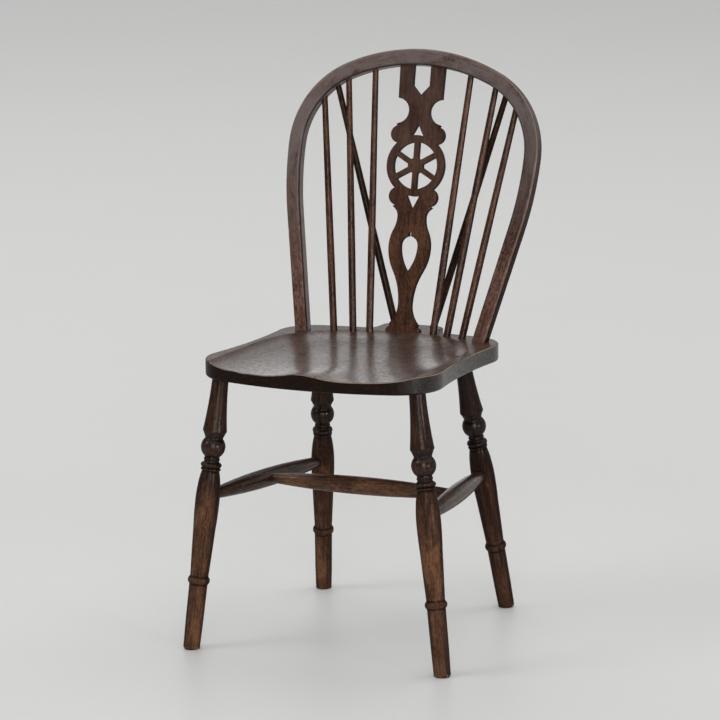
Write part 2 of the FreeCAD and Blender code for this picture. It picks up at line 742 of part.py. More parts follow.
def make_dish_tool():
    """The solid that hollows the seat: a smooth surface through points of the dish's formula."""
    columns, rows = 29, 27
    margin = VALUES["seat_thickness"] / 2
    half = VALUES["seat_front_width"] / 2 + margin
    front, rear = -VALUES["seat_front"] - margin, VALUES["dish_rear"] + 2 * margin
    grid = []
    for row in range(rows):
        y = front + (rear - front) * row / (rows - 1)
        line = []
        for column in range(columns):
            x = -half + 2 * half * column / (columns - 1)
            line.append(Vector(x, y, dish_level(x, y)))
        grid.append(line)
    surface = Part.BSplineSurface()
    surface.interpolate(grid)
    tool = doc.addObject("Part::Feature", "seat_dish")
    tool.Shape = surface.toShape().extrude(Vector(0, 0, 3 * VALUES["dish_depth"]))
    set_askew(tool, cell("seat_height"))
    return tool


def top_rim(shape):
    """Numbers of the edges where the seat's sides meet its saddled top."""
    deep = VALUES["seat_thickness"] / 2
    middle = number(SEAT_UNDER) + deep / 2
    sides = [face for face in shape.Faces if face.BoundBox.ZLength > deep]
    rim = [edge for side in sides for edge in side.Edges if edge.BoundBox.ZMin > middle]
    return [index for index, edge in enumerate(shape.Edges, start=1) if any(edge.isSame(one) for one in rim)]


def make_hollowed_board():
    """The board with its dish cut and the rim round its top softened."""
    hollowed = doc.addObject("Part::Cut", "seat_hollowed")
    hollowed.Base = make_seat_board()
    hollowed.Tool = make_dish_tool()
    doc.recompute()
    radius = VALUES["seat_rim_round"]
    rounded = doc.addObject("Part::Fillet", "seat_rounded")
    rounded.Base = hollowed
    rounded.Edges = [(index, radius, radius) for index in top_rim(hollowed.Shape)]
    return rounded


def splat_tenon(name, room):
    """The tenon under the splat's foot, or with room the mortice that holds it."""
    box = doc.addObject("Part::Box", name)
    width = cell("splat_tenon_width") + room * 2
    thickness = cell("splat_tenon_thickness") + room * 2
    depth = cell("splat_tenon_depth") + room
    bind(box, "Length", width)
    bind(box, "Width", thickness)
    bind(box, "Height", depth + cell("splat_tenon_depth") / 2)
    inner = "vector(%s; %s; %s)" % ((-width / 2).text, (-thickness / 2).text, (-depth).text)
    box.setExpression("Placement", "%s * placement(%s; rotation(vector(0; 0; 1); 0))" % (SPLAT_PLACE, inner))
    return box


def make_seat():
    """The saddled seat with all its sockets and mortices."""
    fit = cell("joint_fit")
    tools = [splat_tenon("splat_mortice", fit)]
    for front in (True, False):
        for side in (-1, 1):
            start, end = foot_point(front, side), leg_top_point(front, side)
            length = distance(start, end)
            name = "leg_socket_%d" % len(tools)
            depth = cell("leg_socket_depth")
            tools.append(round_tool(name, start, end, cell("leg_top_diameter"), length - depth, length + depth + fit))
    for name, kind, side in STICKS + BRACES:
        start, end = stick_line(kind, side)
        depth = cell("stick_socket_depth")
        tools.append(round_tool(name + "_socket", start, end, cell("stick_foot_diameter"), -depth - fit, depth))
    for side in (-1, 1):
        start, end = bow_foot_line(side)
        name = "bow_hole_%d" % len(tools)
        reach = cell("seat_thickness") * 2
        tools.append(round_tool(name, start, end, cell("bow_tenon_diameter"), -reach, reach))
    return cut("seat", make_hollowed_board(), tools)


# Bow


def bow_foot_line(side):
    """Middle line of the bow's foot, from the seat's top upwards."""
    start = bow_point(BOW_FOOT_X, as_size(0), side)
    rise = cell("seat_thickness")
    return start, bow_point(BOW_FOOT_X + BOW_FOOT_SLOPE * rise, rise, side)


def make_bow_blank():
    """The bent bow: half of it swept from the crown to a foot, then mirrored."""
    body = doc.addObject("PartDesign::Body", "bow_blank")
    crown_top = CROWN_LEVEL + CROWN
    share = CROWN.value / (CROWN.value - SHOULDER.value)
    join = (SHOULDER_X.value * share, CROWN_LEVEL.value + (SHOULDER_LEVEL.value - CROWN_LEVEL.value) * share)
    side_x = cell("bow_width") / 2 - BOW_HALF_FACE
    foot = (BOW_FOOT_X - BOW_FOOT_SLOPE * BOW_FOOT_BELOW, -BOW_FOOT_BELOW)
    spine = draw(body, "bow_line", "XZ_Plane", (0, crown_top), [
        Arc(*near(join), -1, CROWN),
        Arc(side_x, SHOULDER_LEVEL, -1, SHOULDER, smooth=True),
        Arc(*near(FLANK_JOIN), -1, FLANK, SHOULDER_LEVEL),
        Line(*foot, smooth=True),
    ], extra=[("PointOnObject", None, 0, 3, -2)])
    crown = section(body, "bow_crown_section", "YZ_Plane", crown_top, cell("bow_crown_face"), None)
    turn = math.degrees(math.atan(number(BOW_FOOT_SLOPE)))
    place = Placement(Vector(number(foot[0]), 0, number(foot[1])), Rotation(Vector(0, 1, 0), turn))
    foot_section = section(body, "bow_foot_section", "XY_Plane", as_size(0), cell("bow_foot_face"), place)
    sweep = body.newObject("PartDesign::AdditivePipe", "bow_sweep")
    sweep.Profile = (crown, [""])
    sweep.Spine = (spine, [""])
    sweep.Transformation = "Multisection"
    sweep.Sections = [(foot_section, [""])]
    mirror(body, "bow_mirrored", [sweep], "YZ_Plane")
    foot = (as_size(0), cell("bow_front"), cell("seat_height"))
    place = leaning(foot, (-cell("bow_lean")).text, cell("bow_turn"), SHOULDER_LEVEL)
    body.setExpression("Placement", place)
    return body


def section(body, name, plane, middle, face, place):
    """Section of the bow: a rectangle with rounded corners, as deep as the bow and as wide as its face."""
    half_depth, half_face, arris = cell("bow_depth") / 2, face / 2, cell("bow_arris")
    if plane == "YZ_Plane":
        across, up, low = half_depth, half_face, middle
        corners = lambda x, y: (x, low + y)
    else:
        across, up = half_face, half_depth
        corners = lambda x, y: (x, y)
    steps = [
        Line(*corners(across - arris, -up)),
        Arc(*corners(across, -up + arris), 1, arris),
        Line(*corners(across, up - arris)),
        Arc(*corners(across - arris, up), 1, arris),
        Line(*corners(-across + arris, up)),
        Arc(*corners(-across, up - arris), 1, arris),
        Line(*corners(-across, -up + arris)),
        Arc(*corners(-across + arris, -up), 1, arris),
    ]
    return draw(body, name, plane, corners(-across + arris, -up), steps, place)


def under_seat_block(name):
    """A block below the seat's top, which trims what stands on it."""
    block = doc.addObject("Part::Box", name)
    wide, deep = 2 * cell("bow_width"), cell("bow_rise")
    bind(block, "Length", wide)
    bind(block, "Width", deep)
    bind(block, "Height", cell("seat_thickness") * 3)
    bind(block, "Placement.Base.x", -wide / 2)
    bind(block, "Placement.Base.y", cell("bow_front") - deep / 2)
    bind(block, "Placement.Base.z", cell("seat_height") - cell("seat_thickness") * 3)
    return block


def under_board_block(name):
    """A block below the seat's underside, which trims the through tenons."""
    block = doc.addObject("Part::Box", name)
    wide, deep = 2 * cell("bow_width"), cell("bow_rise")
    bind(block, "Length", wide)
    bind(block, "Width", deep)
    bind(block, "Height", cell("seat_thickness") * 3)
    bind(block, "Placement.Base.x", -wide / 2)
    bind(block, "Placement.Base.y", cell("bow_front") - deep / 2)
    bind(block, "Placement.Base.z", SEAT_UNDER - cell("seat_thickness") * 3)
    return block


def make_wedge(name, side):
    """A thin wedge, driven up into the end of a bow tenon and cut flush with the seat's underside."""
    body = doc.addObject("PartDesign::Body", name + "_blank")
    low, high = cell("wedge_thick_end") / 2, cell("wedge_thin_end") / 2
    below = cell("wedge_length") / 2
    sketch = draw(body, name + "_outline", "YZ_Plane", (-low, -below), [
        Line(low, -below),
        Line(high, cell("wedge_length")),
        Line(-high, cell("wedge_length")),
        Line(-low, -below),
    ])
    pad(body, name + "_pad", sketch, cell("wedge_width"), both_sides=True)
    start, end = bow_foot_line(side)
    drop = (SEAT_UNDER - start[2]) / (end[2] - start[2])
    aim(body, between(start, end, drop), end)
    return cut(name, body, [under_board_block(name + "_block")])


def make_bow(wedges):
    """The bow with its round tenons, the sockets of the sticks and the mortices of the splat."""
    trimmed = doc.addObject("Part::Cut", "bow_trimmed")
    trimmed.Base = make_bow_blank()
    trimmed.Tool = under_seat_block("bow_seat_block")
    pieces = [trimmed]
    for side in (-1, 1):
        start, end = bow_foot_line(side)
        tenon = doc.addObject("Part::Cylinder", "bow_tenon_%d" % len(pieces))
        bind(tenon, "Radius", cell("bow_tenon_diameter") / 2)
        bind(tenon, "Height", cell("seat_thickness") * 2)
        aim(tenon, start, end, cell("seat_thickness") * -1.5)
        pieces.append(tenon)
    whole = doc.addObject("Part::MultiFuse", "bow_whole")
    whole.Shapes = pieces
    tools = [under_board_block("bow_under_block")] + wedges
    fit = cell("joint_fit")
    for name, kind, side in STICKS + BRACES:
        start, end = stick_line(kind, side)
        length = distance(start, end)
        low = length - cell("stick_top_length")
        tools.append(round_tool(name + "_bow_socket", start, end, cell("stick_top_diameter"), low, length + fit))
    tools.append(make_prong_mortice())
    return cut("bow", whole, tools)


def make_prong_mortice():
    """The two mortices in the bow that take the splat's prongs."""
    body = doc.addObject("PartDesign::Body", "prong_mortice")
    fit = cell("joint_fit")
    low, high = SPLAT_LENGTH - cell("bow_crown_face"), SPLAT_LENGTH + fit
    outer, inner = prong_outer(low) + fit, cell("prong_gap_half") - fit
    top_outer = prong_outer(high) + fit
    sketch = draw(body, "prong_mortice_outline", "XZ_Plane", (inner, low), [
        Line(outer, low),
        Line(top_outer, high),
        Line(inner, high),
        Line(inner, low),
    ])
    half = pad(body, "prong_mortice_pad", sketch, cell("splat_thickness") + 2 * fit, both_sides=True)
    mirror(body, "prong_mortice_mirrored", [half], "YZ_Plane")
    body.setExpression("Placement", SPLAT_PLACE)
    return body


def prong_outer(level):
    """Half width of the splat's prongs at a level."""
    spread = cell("splat_prong_top_half") - cell("splat_prong_half")
    share = (level - cell("splat_prong_level")) / (SPLAT_LENGTH - cell("splat_prong_level"))
    return cell("splat_prong_half") + spread * share


# Splat


def ogee(start_half, start_level, end_half, end_level, radius):
    """Inflection point and second radius of an ogee between two upright tangents."""
    across, up = end_half - start_half, end_level - start_level
    slope = across / up
    if slope.value < 0:
        slope = -slope
    sin_part = 2 * slope / (1 + slope * slope)
    cos_part = (1 - slope * slope) / (1 + slope * slope)
    total = up / sin_part
    step = radius * (1 - cos_part)
    x = start_half + step if across.value > 0 else start_half - step
    return (x, start_level + radius * sin_part), total - radius


def quarter_radius(across, up):
    """Radius of an arc with an upright tangent at one end."""
    return (across * across + up * up) / (2 * across)


def rim_level(half, upper):
    """Height on the outside of the wheel's rim, at a distance from the middle."""
    rise = root(cell("wheel_radius") * cell("wheel_radius") - half * half)
    return cell("wheel_level") + rise if upper else cell("wheel_level") - rise


def splat_half_outline():
    """Right half of the splat, from its foot to the prongs in the bow and down the gap."""
    nib = cell("splat_nib_size")
    step_half, step_level = cell("splat_step_half"), cell("splat_step_level")
    waist_half, waist_level = cell("splat_waist_half"), cell("splat_waist_level")
    swell_half, swell_level = cell("splat_swell_half"), cell("splat_swell_level")
    neck_half, neck_level = cell("splat_neck_half"), cell("splat_neck_level")
    lobe_half, lobe_level = cell("splat_lobe_half"), cell("splat_lobe_level")
    crest_half, crest_level = cell("splat_crest_half"), cell("splat_crest_level")
    notch_half, notch_level = cell("splat_notch_half"), cell("splat_notch_level")
    prong_half, prong_level = cell("splat_prong_half"), cell("splat_prong_level")
    lower_rim, upper_rim = cell("wheel_lower_half"), cell("wheel_upper_half")
    gap_half = cell("prong_gap_half")

    above_step = step_level + nib * 3
    hollow = quarter_radius(step_half - waist_half, above_step - waist_level)
    rising, upper_radius = ogee(waist_half, waist_level, swell_half, swell_level, cell("splat_waist_radius"))
    falling, neck_radius = ogee(swell_half, swell_level, neck_half, neck_level, cell("splat_swell_radius"))
    lobe_start = lobe_level + nib * 2
    under_lobe = quarter_radius(lobe_half - neck_half, lobe_level - neck_level)
    notch_start = crest_level + nib * 2
    lower_notch = quarter_radius(crest_half - nib / 2 - notch_half, notch_level - notch_start)
    upper_notch = quarter_radius(prong_half - notch_half, prong_level - notch_level)

    return [
        Line(cell("splat_base_half"), -nib * 2),
        Line(cell("splat_base_half"), as_size(0)),
        Arc(step_half, step_level, 1, cell("splat_base_radius")),
        Line(step_half + nib, step_level + nib),
        Line(step_half, above_step),
        Arc(waist_half, waist_level, -1, hollow),
        Arc(*rising, -1, cell("splat_waist_radius")),
        Arc(swell_half, swell_level, 1, upper_radius),
        Arc(*falling, 1, cell("splat_swell_radius")),
        Arc(neck_half, neck_level, -1, neck_radius),
        Arc(lobe_half, lobe_level, -1, under_lobe),
        Line(lobe_half + nib, lobe_level + nib),
        Line(lobe_half - nib / 2, lobe_start),
        Arc(lower_rim, rim_level(lower_rim, False), 1, cell("splat_lobe_radius")),
        Arc(upper_rim, rim_level(upper_rim, True), 1, cell("wheel_radius")),
        Arc(crest_half, crest_level, 1, cell("splat_crest_radius")),
        Line(crest_half + nib, crest_level + nib),
        Line(crest_half - nib / 2, notch_start),
        Arc(notch_half, notch_level, -1, lower_notch),
        Arc(prong_half, prong_level, -1, upper_notch),
        Line(cell("splat_prong_top_half"), SPLAT_LENGTH),
        Line(gap_half, SPLAT_LENGTH),
        Line(gap_half, cell("prong_gap_level")),
        Line(0, cell("prong_gap_bottom")),
        Line(0, -nib * 2),
    ]


def make_splat():
    """The pierced splat: a fretted board with the spoked wheel, set on the seat by a tenon."""
    body = doc.addObject("PartDesign::Body", "splat_board")
    nib = cell("splat_nib_size")
    outline = draw(body, "splat_outline", "XZ_Plane", (0, -nib * 2), splat_half_outline())
    half = pad(body, "splat_half", outline, cell("splat_thickness"), both_sides=True)
    mirror(body, "splat_mirrored", [half], "YZ_Plane")
    through = cell("splat_thickness") * 3
    cut_wheel(body, through)
    for name, start, steps in eye_outlines():
        eye = draw(body, name + "_outline", "XZ_Plane", start, steps)
        pocket_through(body, name, eye, through)
    body.setExpression("Placement", SPLAT_PLACE)
    trimmed = doc.addObject("Part::Cut", "splat_trimmed")
    trimmed.Base = body
    trimmed.Tool = under_seat_block("splat_seat_block")
    whole = doc.addObject("Part::MultiFuse", "splat")
    whole.Shapes = [trimmed, splat_tenon("splat_tenon", as_size(0))]
    whole.Label = "splat"
    return whole


def cut_wheel(body, through):
    """The six openings between the wheel's spokes."""
    inner, outer, spoke = cell("wheel_hub_radius"), cell("wheel_inner_radius"), cell("wheel_spoke_half")

    def sector_corner(radius):
        sin_part = spoke / radius
        cos_part = root(1 - sin_part * sin_part)
        cos_30, sin_30 = math.sqrt(3) / 2, 0.5
        return (radius * (cos_30 * cos_part + sin_30 * sin_part), radius * (sin_30 * cos_part - cos_30 * sin_part))

    inner_x, inner_y = sector_corner(inner)
    outer_x, outer_y = sector_corner(outer)
    place = Placement(Vector(0, number(cell("wheel_level")), 0), Rotation())
    sketch = draw(body, "wheel_opening", "XZ_Plane", (inner_x, -inner_y), [
        Line(outer_x, -outer_y),
        Arc(outer_x, outer_y, 1, outer),
        Line(inner_x, inner_y),
        Arc(inner_x, -inner_y, -1, inner),
    ], place)
    bind(sketch, "AttachmentOffset.Base.y", cell("wheel_level"))
    opening = pocket_through(body, "wheel_opening_cut", sketch, through)
    ring = body.newObject("PartDesign::PolarPattern", "wheel_openings")
    ring.Originals = [opening]
    ring.Axis = (sketch, ["N_Axis"])
    ring.Angle = 360
    ring.Occurrences = 6
    body.Tip = ring


def eye_outlines():
    """The pierced holes over and under the wheel, and the teardrop with its slot."""
    upper, lower = cell("upper_eye_half"), cell("lower_eye_half")
    rim = cell("wheel_radius")
    drop, level, slot = cell("drop_half"), cell("drop_level"), cell("drop_slot_half")
    side_radius = quarter_radius(drop, level - cell("drop_bottom"))
    slot_foot = level + root(drop * drop - slot * slot)
    slot_top = cell("drop_slot_top")
    yield "upper_eye", (-upper, rim_level(upper, True)), [
        Arc(upper, rim_level(upper, True), -1, rim),
        Line(0, cell("upper_eye_top")),
        Line(-upper, rim_level(upper, True)),
    ]
    yield "lower_eye", (-lower, rim_level(lower, False)), [
        Line(0, cell("lower_eye_bottom")),
        Line(lower, rim_level(lower, False)),
        Arc(-lower, rim_level(lower, False), -1, rim),
    ]
    yield "teardrop", (0, cell("drop_bottom")), [
        Arc(drop, level, 1, side_radius),
        Arc(slot, slot_foot, 1, drop),
        Line(slot, slot_top),
        Line(-slot, slot_top),
        Line(-slot, slot_foot),
        Arc(-drop, level, 1, drop),
        Arc(0, cell("drop_bottom"), 1, side_radius),
    ]


# Sticks and braces


def make_stick(name, kind, side):
    """A shaved stick, thickest low down, with straight ends that stand in their sockets."""
    start, end = stick_line(kind, side)
    length = distance(start, end)
    foot, middle, top = (cell("stick_%s_diameter" % part) / 2 for part in ("foot", "middle", "top"))
    low = -cell("stick_socket_depth")
    steps = [
        Line(foot, low),
        Line(foot, cell("stick_socket_depth") / 5),
        Line(middle, length * 0.3),
        Line(top, length - cell("stick_top_length")),
        Line(top, length),
        Line(0, length),
        Line(0, low),
    ]
    body = turn_body(name, steps, (0, low))
    aim(body, start, end)
    body.Label = name
    return body


# Legs and stretchers


def leg_steps(length):
    """Half outline of a turned leg, from below the floor up to the end of its tenon."""
    half = {key: cell("leg_%s_diameter" % key) / 2 for key in (
        "foot", "ankle", "ring", "fillet", "shin", "vase", "shoulder", "bead", "neck", "ball", "throat",
        "cone", "top")}
    fillet = cell("leg_fillet_height")
    ring_low = cell("leg_ring_level") - cell("leg_ring_height") / 2
    ring_high = cell("leg_ring_level") + cell("leg_ring_height") / 2
    bead, bead_middle = cell("leg_bead_height"), cell("leg_bead_level")
    ball_half, ball_middle = cell("leg_ball_height") / 2, cell("leg_ball_level")
    ball_low, ball_high = ball_middle - ball_half, ball_middle + ball_half
    cone_low = cell("leg_cone_level") - ball_half / 2
    ring_curve = rise_radius(cell("leg_ring_height"), half["ring"] - half["fillet"])
    bead_curve = rise_radius(bead, half["bead"] - half["fillet"])
    ball_curve = rise_radius(cell("leg_ball_height"), half["ball"] - half["throat"])
    below = -cell("leg_foot_diameter") / 2
    top = length + cell("leg_socket_depth")
    return [
        Line(half["foot"], below),
        Line(half["foot"], as_size(0)),
        Line(half["ankle"], ring_low - fillet),
        Line(half["fillet"], ring_low - fillet),
        Line(half["fillet"], ring_low),
        Arc(half["fillet"], ring_high, 1, ring_curve),
        Line(half["fillet"], ring_high + fillet),
        Line(half["shin"], ring_high + fillet),
        Arc(half["vase"], cell("leg_vase_level"), 1, level=cell("leg_vase_level")),
        Arc(half["shoulder"], bead_middle - bead - fillet, 1, level=cell("leg_vase_level")),
        Line(half["fillet"], bead_middle - bead - fillet),
        Line(half["fillet"], bead_middle - bead),
        Arc(half["fillet"], bead_middle, 1, bead_curve),
        Arc(half["fillet"], bead_middle + bead, 1, bead_curve),
        Line(half["neck"], bead_middle + bead + fillet),
        Line(half["neck"], ball_low - fillet),
        Line(half["throat"], ball_low),
        Arc(half["throat"], ball_high, 1, ball_curve),
        Line(half["throat"], cone_low),
        Arc(half["cone"], cell("leg_cone_level"), 1, level=cell("leg_cone_level")),
        Line(half["top"], length - fillet),
        Line(half["top"], top),
        Line(0, top),
        Line(0, below),
    ]


def make_leg(name, front, side):
    """A turned leg, cut level at the floor, with the socket of its side stretcher."""
    start, end = foot_point(front, side), leg_top_point(front, side)
    length = distance(start, end)
    below = -cell("leg_foot_diameter") / 2
    body = turn_body(name + "_turned", leg_steps(length), (0, below))
    aim(body, start, end)
    floor = doc.addObject("Part::Box", name + "_floor")
    wide = cell("leg_foot_diameter") * 3
    bind(floor, "Length", wide)
    bind(floor, "Width", wide)
    bind(floor, "Height", wide)
    bind(floor, "Placement.Base.x", start[0] - wide / 2)
    bind(floor, "Placement.Base.y", start[1] - wide / 2)
    bind(floor, "Placement.Base.z", -wide)
    rail = stretcher_ends(side)
    if not front:
        rail.reverse()
    fit = cell("joint_fit")
    low, high = cell("stretcher_set") - fit, cell("leg_vase_diameter")
    socket = round_tool(name + "_socket", rail[0], rail[1], cell("stretcher_end_diameter"), low, high)
    return cut(name, body, [floor, socket])


def rail_steps(length, set_back, end_half, middle_half):
    """Half outline of a stretcher that swells evenly to its middle."""
    straight = set_back * 5
    return [
        Line(end_half, set_back),
        Line(end_half, straight),
        Arc(middle_half, length / 2, 1, level=length / 2),
        Arc(end_half, length - straight, 1, level=length / 2),
        Line(end_half, length - set_back),
        Line(0, length - set_back),
        Line(0, set_back),
    ]


def make_side_stretcher(name, side):
    """A side stretcher with the socket of the cross stretcher."""
    start, end = stretcher_ends(side)
    length = distance(start, end)
    set_back = cell("stretcher_set")
    halves = (cell("stretcher_end_diameter") / 2, cell("stretcher_middle_diameter") / 2)
    body = turn_body(name + "_turned", rail_steps(length, set_back, *halves), (0, set_back))
    aim(body, start, end)
    rail = cross_ends()
    if side > 0:
        rail.reverse()
    fit = cell("joint_fit")
    low, high = cell("cross_set") - fit, cell("stretcher_middle_diameter")
    socket = round_tool(name + "_socket", rail[0], rail[1], cell("cross_end_diameter"), low, high)
    return cut(name, body, [socket])


def make_cross_stretcher():
    """The stretcher that joins the middles of the two side stretchers."""
    start, end = cross_ends()
    length = distance(start, end)
    set_back = cell("cross_set")
    halves = (cell("cross_end_diameter") / 2, cell("cross_middle_diameter") / 2)
    body = turn_body("stretcher_cross", rail_steps(length, set_back, *halves), (0, set_back))
    aim(body, start, end)
    body.Label = "stretcher_cross"
    return body


def make_parts():
    """Every piece of the chair, under its own name."""
    wedges = [make_wedge("bow_wedge_left", -1), make_wedge("bow_wedge_right", 1)]
    parts = [make_seat(), make_bow(wedges), make_splat()] + wedges
    parts += [make_stick(*stick) for stick in STICKS + BRACES]
    for place, front in (("front", True), ("back", False)):
        for hand, side in (("left", -1), ("right", 1)):
            parts.append(make_leg("leg_%s_%s" % (place, hand), front, side))
    parts += [make_side_stretcher("stretcher_left", -1), make_side_stretcher("stretcher_right", 1)]
    parts.append(make_cross_stretcher())
    return parts


def check(parts):
    """Stop if anything failed to build."""
    for item in doc.Objects:
        if "Invalid" in item.State or "Error" in item.State:
            raise RuntimeError("failed: %s %s" % (item.Name, item.State))
    for item in parts:
        shape = item.Shape
        if shape.isNull() or not shape.isValid() or len(shape.Solids) != 1:
            raise RuntimeError("bad shape: %s" % item.Label)


PARTS = make_parts()
doc.recompute()
check(PARTS)
os.makedirs("parts", exist_ok=True)
for part in PARTS:
    part.Shape.exportStep(os.path.join("parts", part.Label + ".step"))
    box = part.Shape.optimalBoundingBox(False, True)
    print("%-20s %9.1f mm3  x %7.1f %7.1f  y %7.1f %7.1f  z %7.1f %7.1f" % (
        part.Label, part.Shape.Volume, box.XMin, box.XMax, box.YMin, box.YMax, box.ZMin, box.ZMax))
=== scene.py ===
"""Looks, floor, light and camera for a wheelback Windsor chair, around its packed construction model."""

import math

import bmesh
import bpy
import numpy as np
from bpy.props import FloatProperty, FloatVectorProperty, PointerProperty
from mathutils import Matrix, Vector


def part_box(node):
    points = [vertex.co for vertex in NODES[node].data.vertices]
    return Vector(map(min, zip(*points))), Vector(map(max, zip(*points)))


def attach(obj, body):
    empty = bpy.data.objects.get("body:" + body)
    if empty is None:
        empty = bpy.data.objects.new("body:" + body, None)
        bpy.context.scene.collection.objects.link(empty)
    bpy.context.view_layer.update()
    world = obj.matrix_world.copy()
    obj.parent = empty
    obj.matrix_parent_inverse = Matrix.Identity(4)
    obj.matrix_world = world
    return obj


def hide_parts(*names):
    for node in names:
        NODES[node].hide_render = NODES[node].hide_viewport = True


bl_info = {
    "name": "Wheelback chair",
    "version": (1, 0, 0),
    "blender": (4, 5, 0),
    "location": "View3D > Sidebar > Chair",
    "description": "Stained and waxed finish, light and camera for a wheelback Windsor chair",
    "category": "Object",
}

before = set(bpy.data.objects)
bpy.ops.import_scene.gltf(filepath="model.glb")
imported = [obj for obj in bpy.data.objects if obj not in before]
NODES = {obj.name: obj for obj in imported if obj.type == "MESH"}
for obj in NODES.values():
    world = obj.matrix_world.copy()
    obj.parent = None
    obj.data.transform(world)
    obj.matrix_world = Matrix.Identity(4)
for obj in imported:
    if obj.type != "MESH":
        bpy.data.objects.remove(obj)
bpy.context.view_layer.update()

SIDES = {"left": -1, "right": 1}
# Direction of the side that gets painted light and the most wax; sides turned away from it get painted shade
PAINTED_LIGHT_SIDE = (0.25, -0.94, 0.2)
MM_PER_METRE = 1000

# Two levels or distances under one name say where a finish starts to change and where it has changed
SEAT_TOP = 0.448
SEAT_GRAIN, SEAT_SCRATCHES, SEAT_RIGHT_EDGE = (1, 0, 0.02), (0.5, 0.86, 0), (0.95, -0.3, 0)
SEAT_FRONT_Y = (0.16, 0.04)
SADDLE_LEVELS = (SEAT_TOP - 0.0005, SEAT_TOP - 0.006)

# Middle line of the bow in its own leaning plane, with levels above the seat: arcs of the crown, the
# shoulders and the flanks, and straight feet
BOW_FRONT = 0.10025
BOW_LEAN, BOW_TURN = math.radians(16.4), math.radians(1.4)
CROWN_LEVEL, CROWN_RADIUS = 0.154, 0.293
SHOULDER_X, SHOULDER_LEVEL, SHOULDER_RADIUS = 0.067, 0.2971, 0.135
CROWN_TURN = math.atan2(SHOULDER_X, SHOULDER_LEVEL - CROWN_LEVEL)
FLANK_X, FLANK_RADIUS, FLANK_END = -0.345, 0.547, 0.18594
BOW_FOOT_X, BOW_FOOT_SLOPE = 0.152, 0.20753
# How far across and up the bow its right flank darkens, and how far up the painted grey sheen of its crown
# reaches
BOW_FLANK, BOW_CROWN_SHEEN = (0.05, 0.2), (0.08, 0.36)
# Short scars across the right flank: level up the bow and half width
BOW_SCARS = ((0.146, 0.0002), (0.246, 0.0004))

SPLAT_FOOT_Y, SPLAT_THICKNESS = 0.1377, 0.012
# Levels up the splat over which its upper part begins, which gets a painted grey sheen
SPLAT_UPPER_PART = (0.12, 0.34)
STICK_FOOT = (0.05, 0)
# Share of the front side's painted light and wax that reaches the braces, which stand behind the sticks; the
# rest is painted shade
BRACE_PAINTED_LIGHT = 0.5

# Half outline of a turned leg in millimetres, up from the floor: level, radius, and how far the line up to
# that point swells outwards
LEG_OUTLINE = (
    (-5, 10, 0), (0.3, 11.3, 0), (3.6, 12.9, 0.7), (40, 13.7, 0), (100.8, 14.2, 0), (102.6, 14.3, 0),
    (103.2, 15, 0), (113.6, 15, 2.1), (114.2, 14.4, 0), (116.5, 14.2, 0), (190, 17.3, 0.1), (228, 18.7, 0.3),
    (255, 17.6, 0.4), (278.4, 13.9, 0.5), (280, 13.3, 0), (280.8, 14.2, 0), (284.8, 14.2, 1.2),
    (285.3, 13.6, 0), (285.9, 14, 0), (292.7, 14, 2.2), (293.4, 12.7, 0), (295.6, 11.6, -0.3),
    (296.8, 11.7, 0), (300, 11.7, 0.8), (300.6, 11.6, 0), (302.6, 11.6, 0), (330.4, 13.9, 6.1),
    (331.8, 13.9, 0), (341.6, 18, -0.2), (343.4, 18.5, 0.3), (426, 12.6, -1.2))
# How much smaller the radius is at the end of the tenon
LEG_TENON_TAPER = 0.5
LEG_SIDES = 48
SHARP_EDGE = math.radians(40)
# Grooves of the turned legs, and the hollows under the ball and the cone: level up the leg and half width
LEG_GROOVES = ((0.1024, 0.0008), (0.1144, 0.0008), (0.2798, 0.001), (0.2853, 0.0006), (0.2945, 0.001),
               (0.3015, 0.001), (0.3314, 0.001))
LEG_HOLLOWS = ((0.2985, 0.002), (0.3315, 0.0025))
# Painted shade on each leg, put in as extra stain: above its ring, and all over; the back legs stand in the
# seat's shade
LEG_PAINTED_SHADE = {
    "leg_front_left": (0, 0),
    "leg_front_right": (0, 0),
    "leg_back_left": (0.2, 0),
    "leg_back_right": (0.2, 0.3),
}
# Levels up a leg: its worn foot, over its ring where a back leg's painted shade starts, on to its turnings
# and off them, and under the seat
LEG_FOOT, LEG_OVER_RING = (0.018, 0.007), (0.1, 0.2)
LEG_TURNINGS_START, LEG_TURNINGS_END, LEG_UNDER_SEAT = (0.27, 0.36), (0.40, 0.345), (0.35, 0.41)
# Levels up a leg where the wax thickens, and where it thins again on the cone
LEG_WAX_START, LEG_WAX_END = (0.25, 0.31), (0.33, 0.345)

# Shares of a stretcher's length, from its middle, where its darker ends start
STRETCHER_ENDS = (0.38, 0.47)
STRETCHER_STAIN = {"stretcher_left": 0.9, "stretcher_right": 0.9, "stretcher_cross": 0.1}

# Noises of the wood: cells per metre across and along the grain, detail, roughness, distortion and seed
WOOD_NOISES = {
    "streaks": (230, 9, 6, 0.64, 0.3, 0),
    "figure": (48, 3.2, 3, 0.5, 0.7, 5),
    "pores": (760, 62, 2, 0.5, 0.2, 9),
    "mottle": (34, 15, 5, 0.62, 0.6, 13),
    "specks": (360, 170, 4, 0.7, 0, 17),
    "rubbing": (170, 38, 4, 0.65, 0, 21),
}
# Angle that the growth rings' wave goes through over the whole range of the figure's noise
RING_TURNS = 40
LEAST_ROUGHNESS = 0.14
BUMP_STRENGTH = 0.45

FLOOR_REACH = 60.0
# Painted light on the floor under the chair, which lightens the chair's shadow, and painted shade far from
# it: brightness against the floor's own colour
FLOOR_NEAR_PAINTED_LIGHT, FLOOR_FAR_PAINTED_SHADE = 1.1, 0.69
# Distances from the chair over which the first fades into the floor's own colour, and that into the second
NEAR_FADE, FAR_FADE = (0.1, 1.2), (1.5, 13)
FLOOR_ROUGHNESS, FLOOR_GLOSS = 0.42, 0.25
OVERHEAD_WIDTH = 120
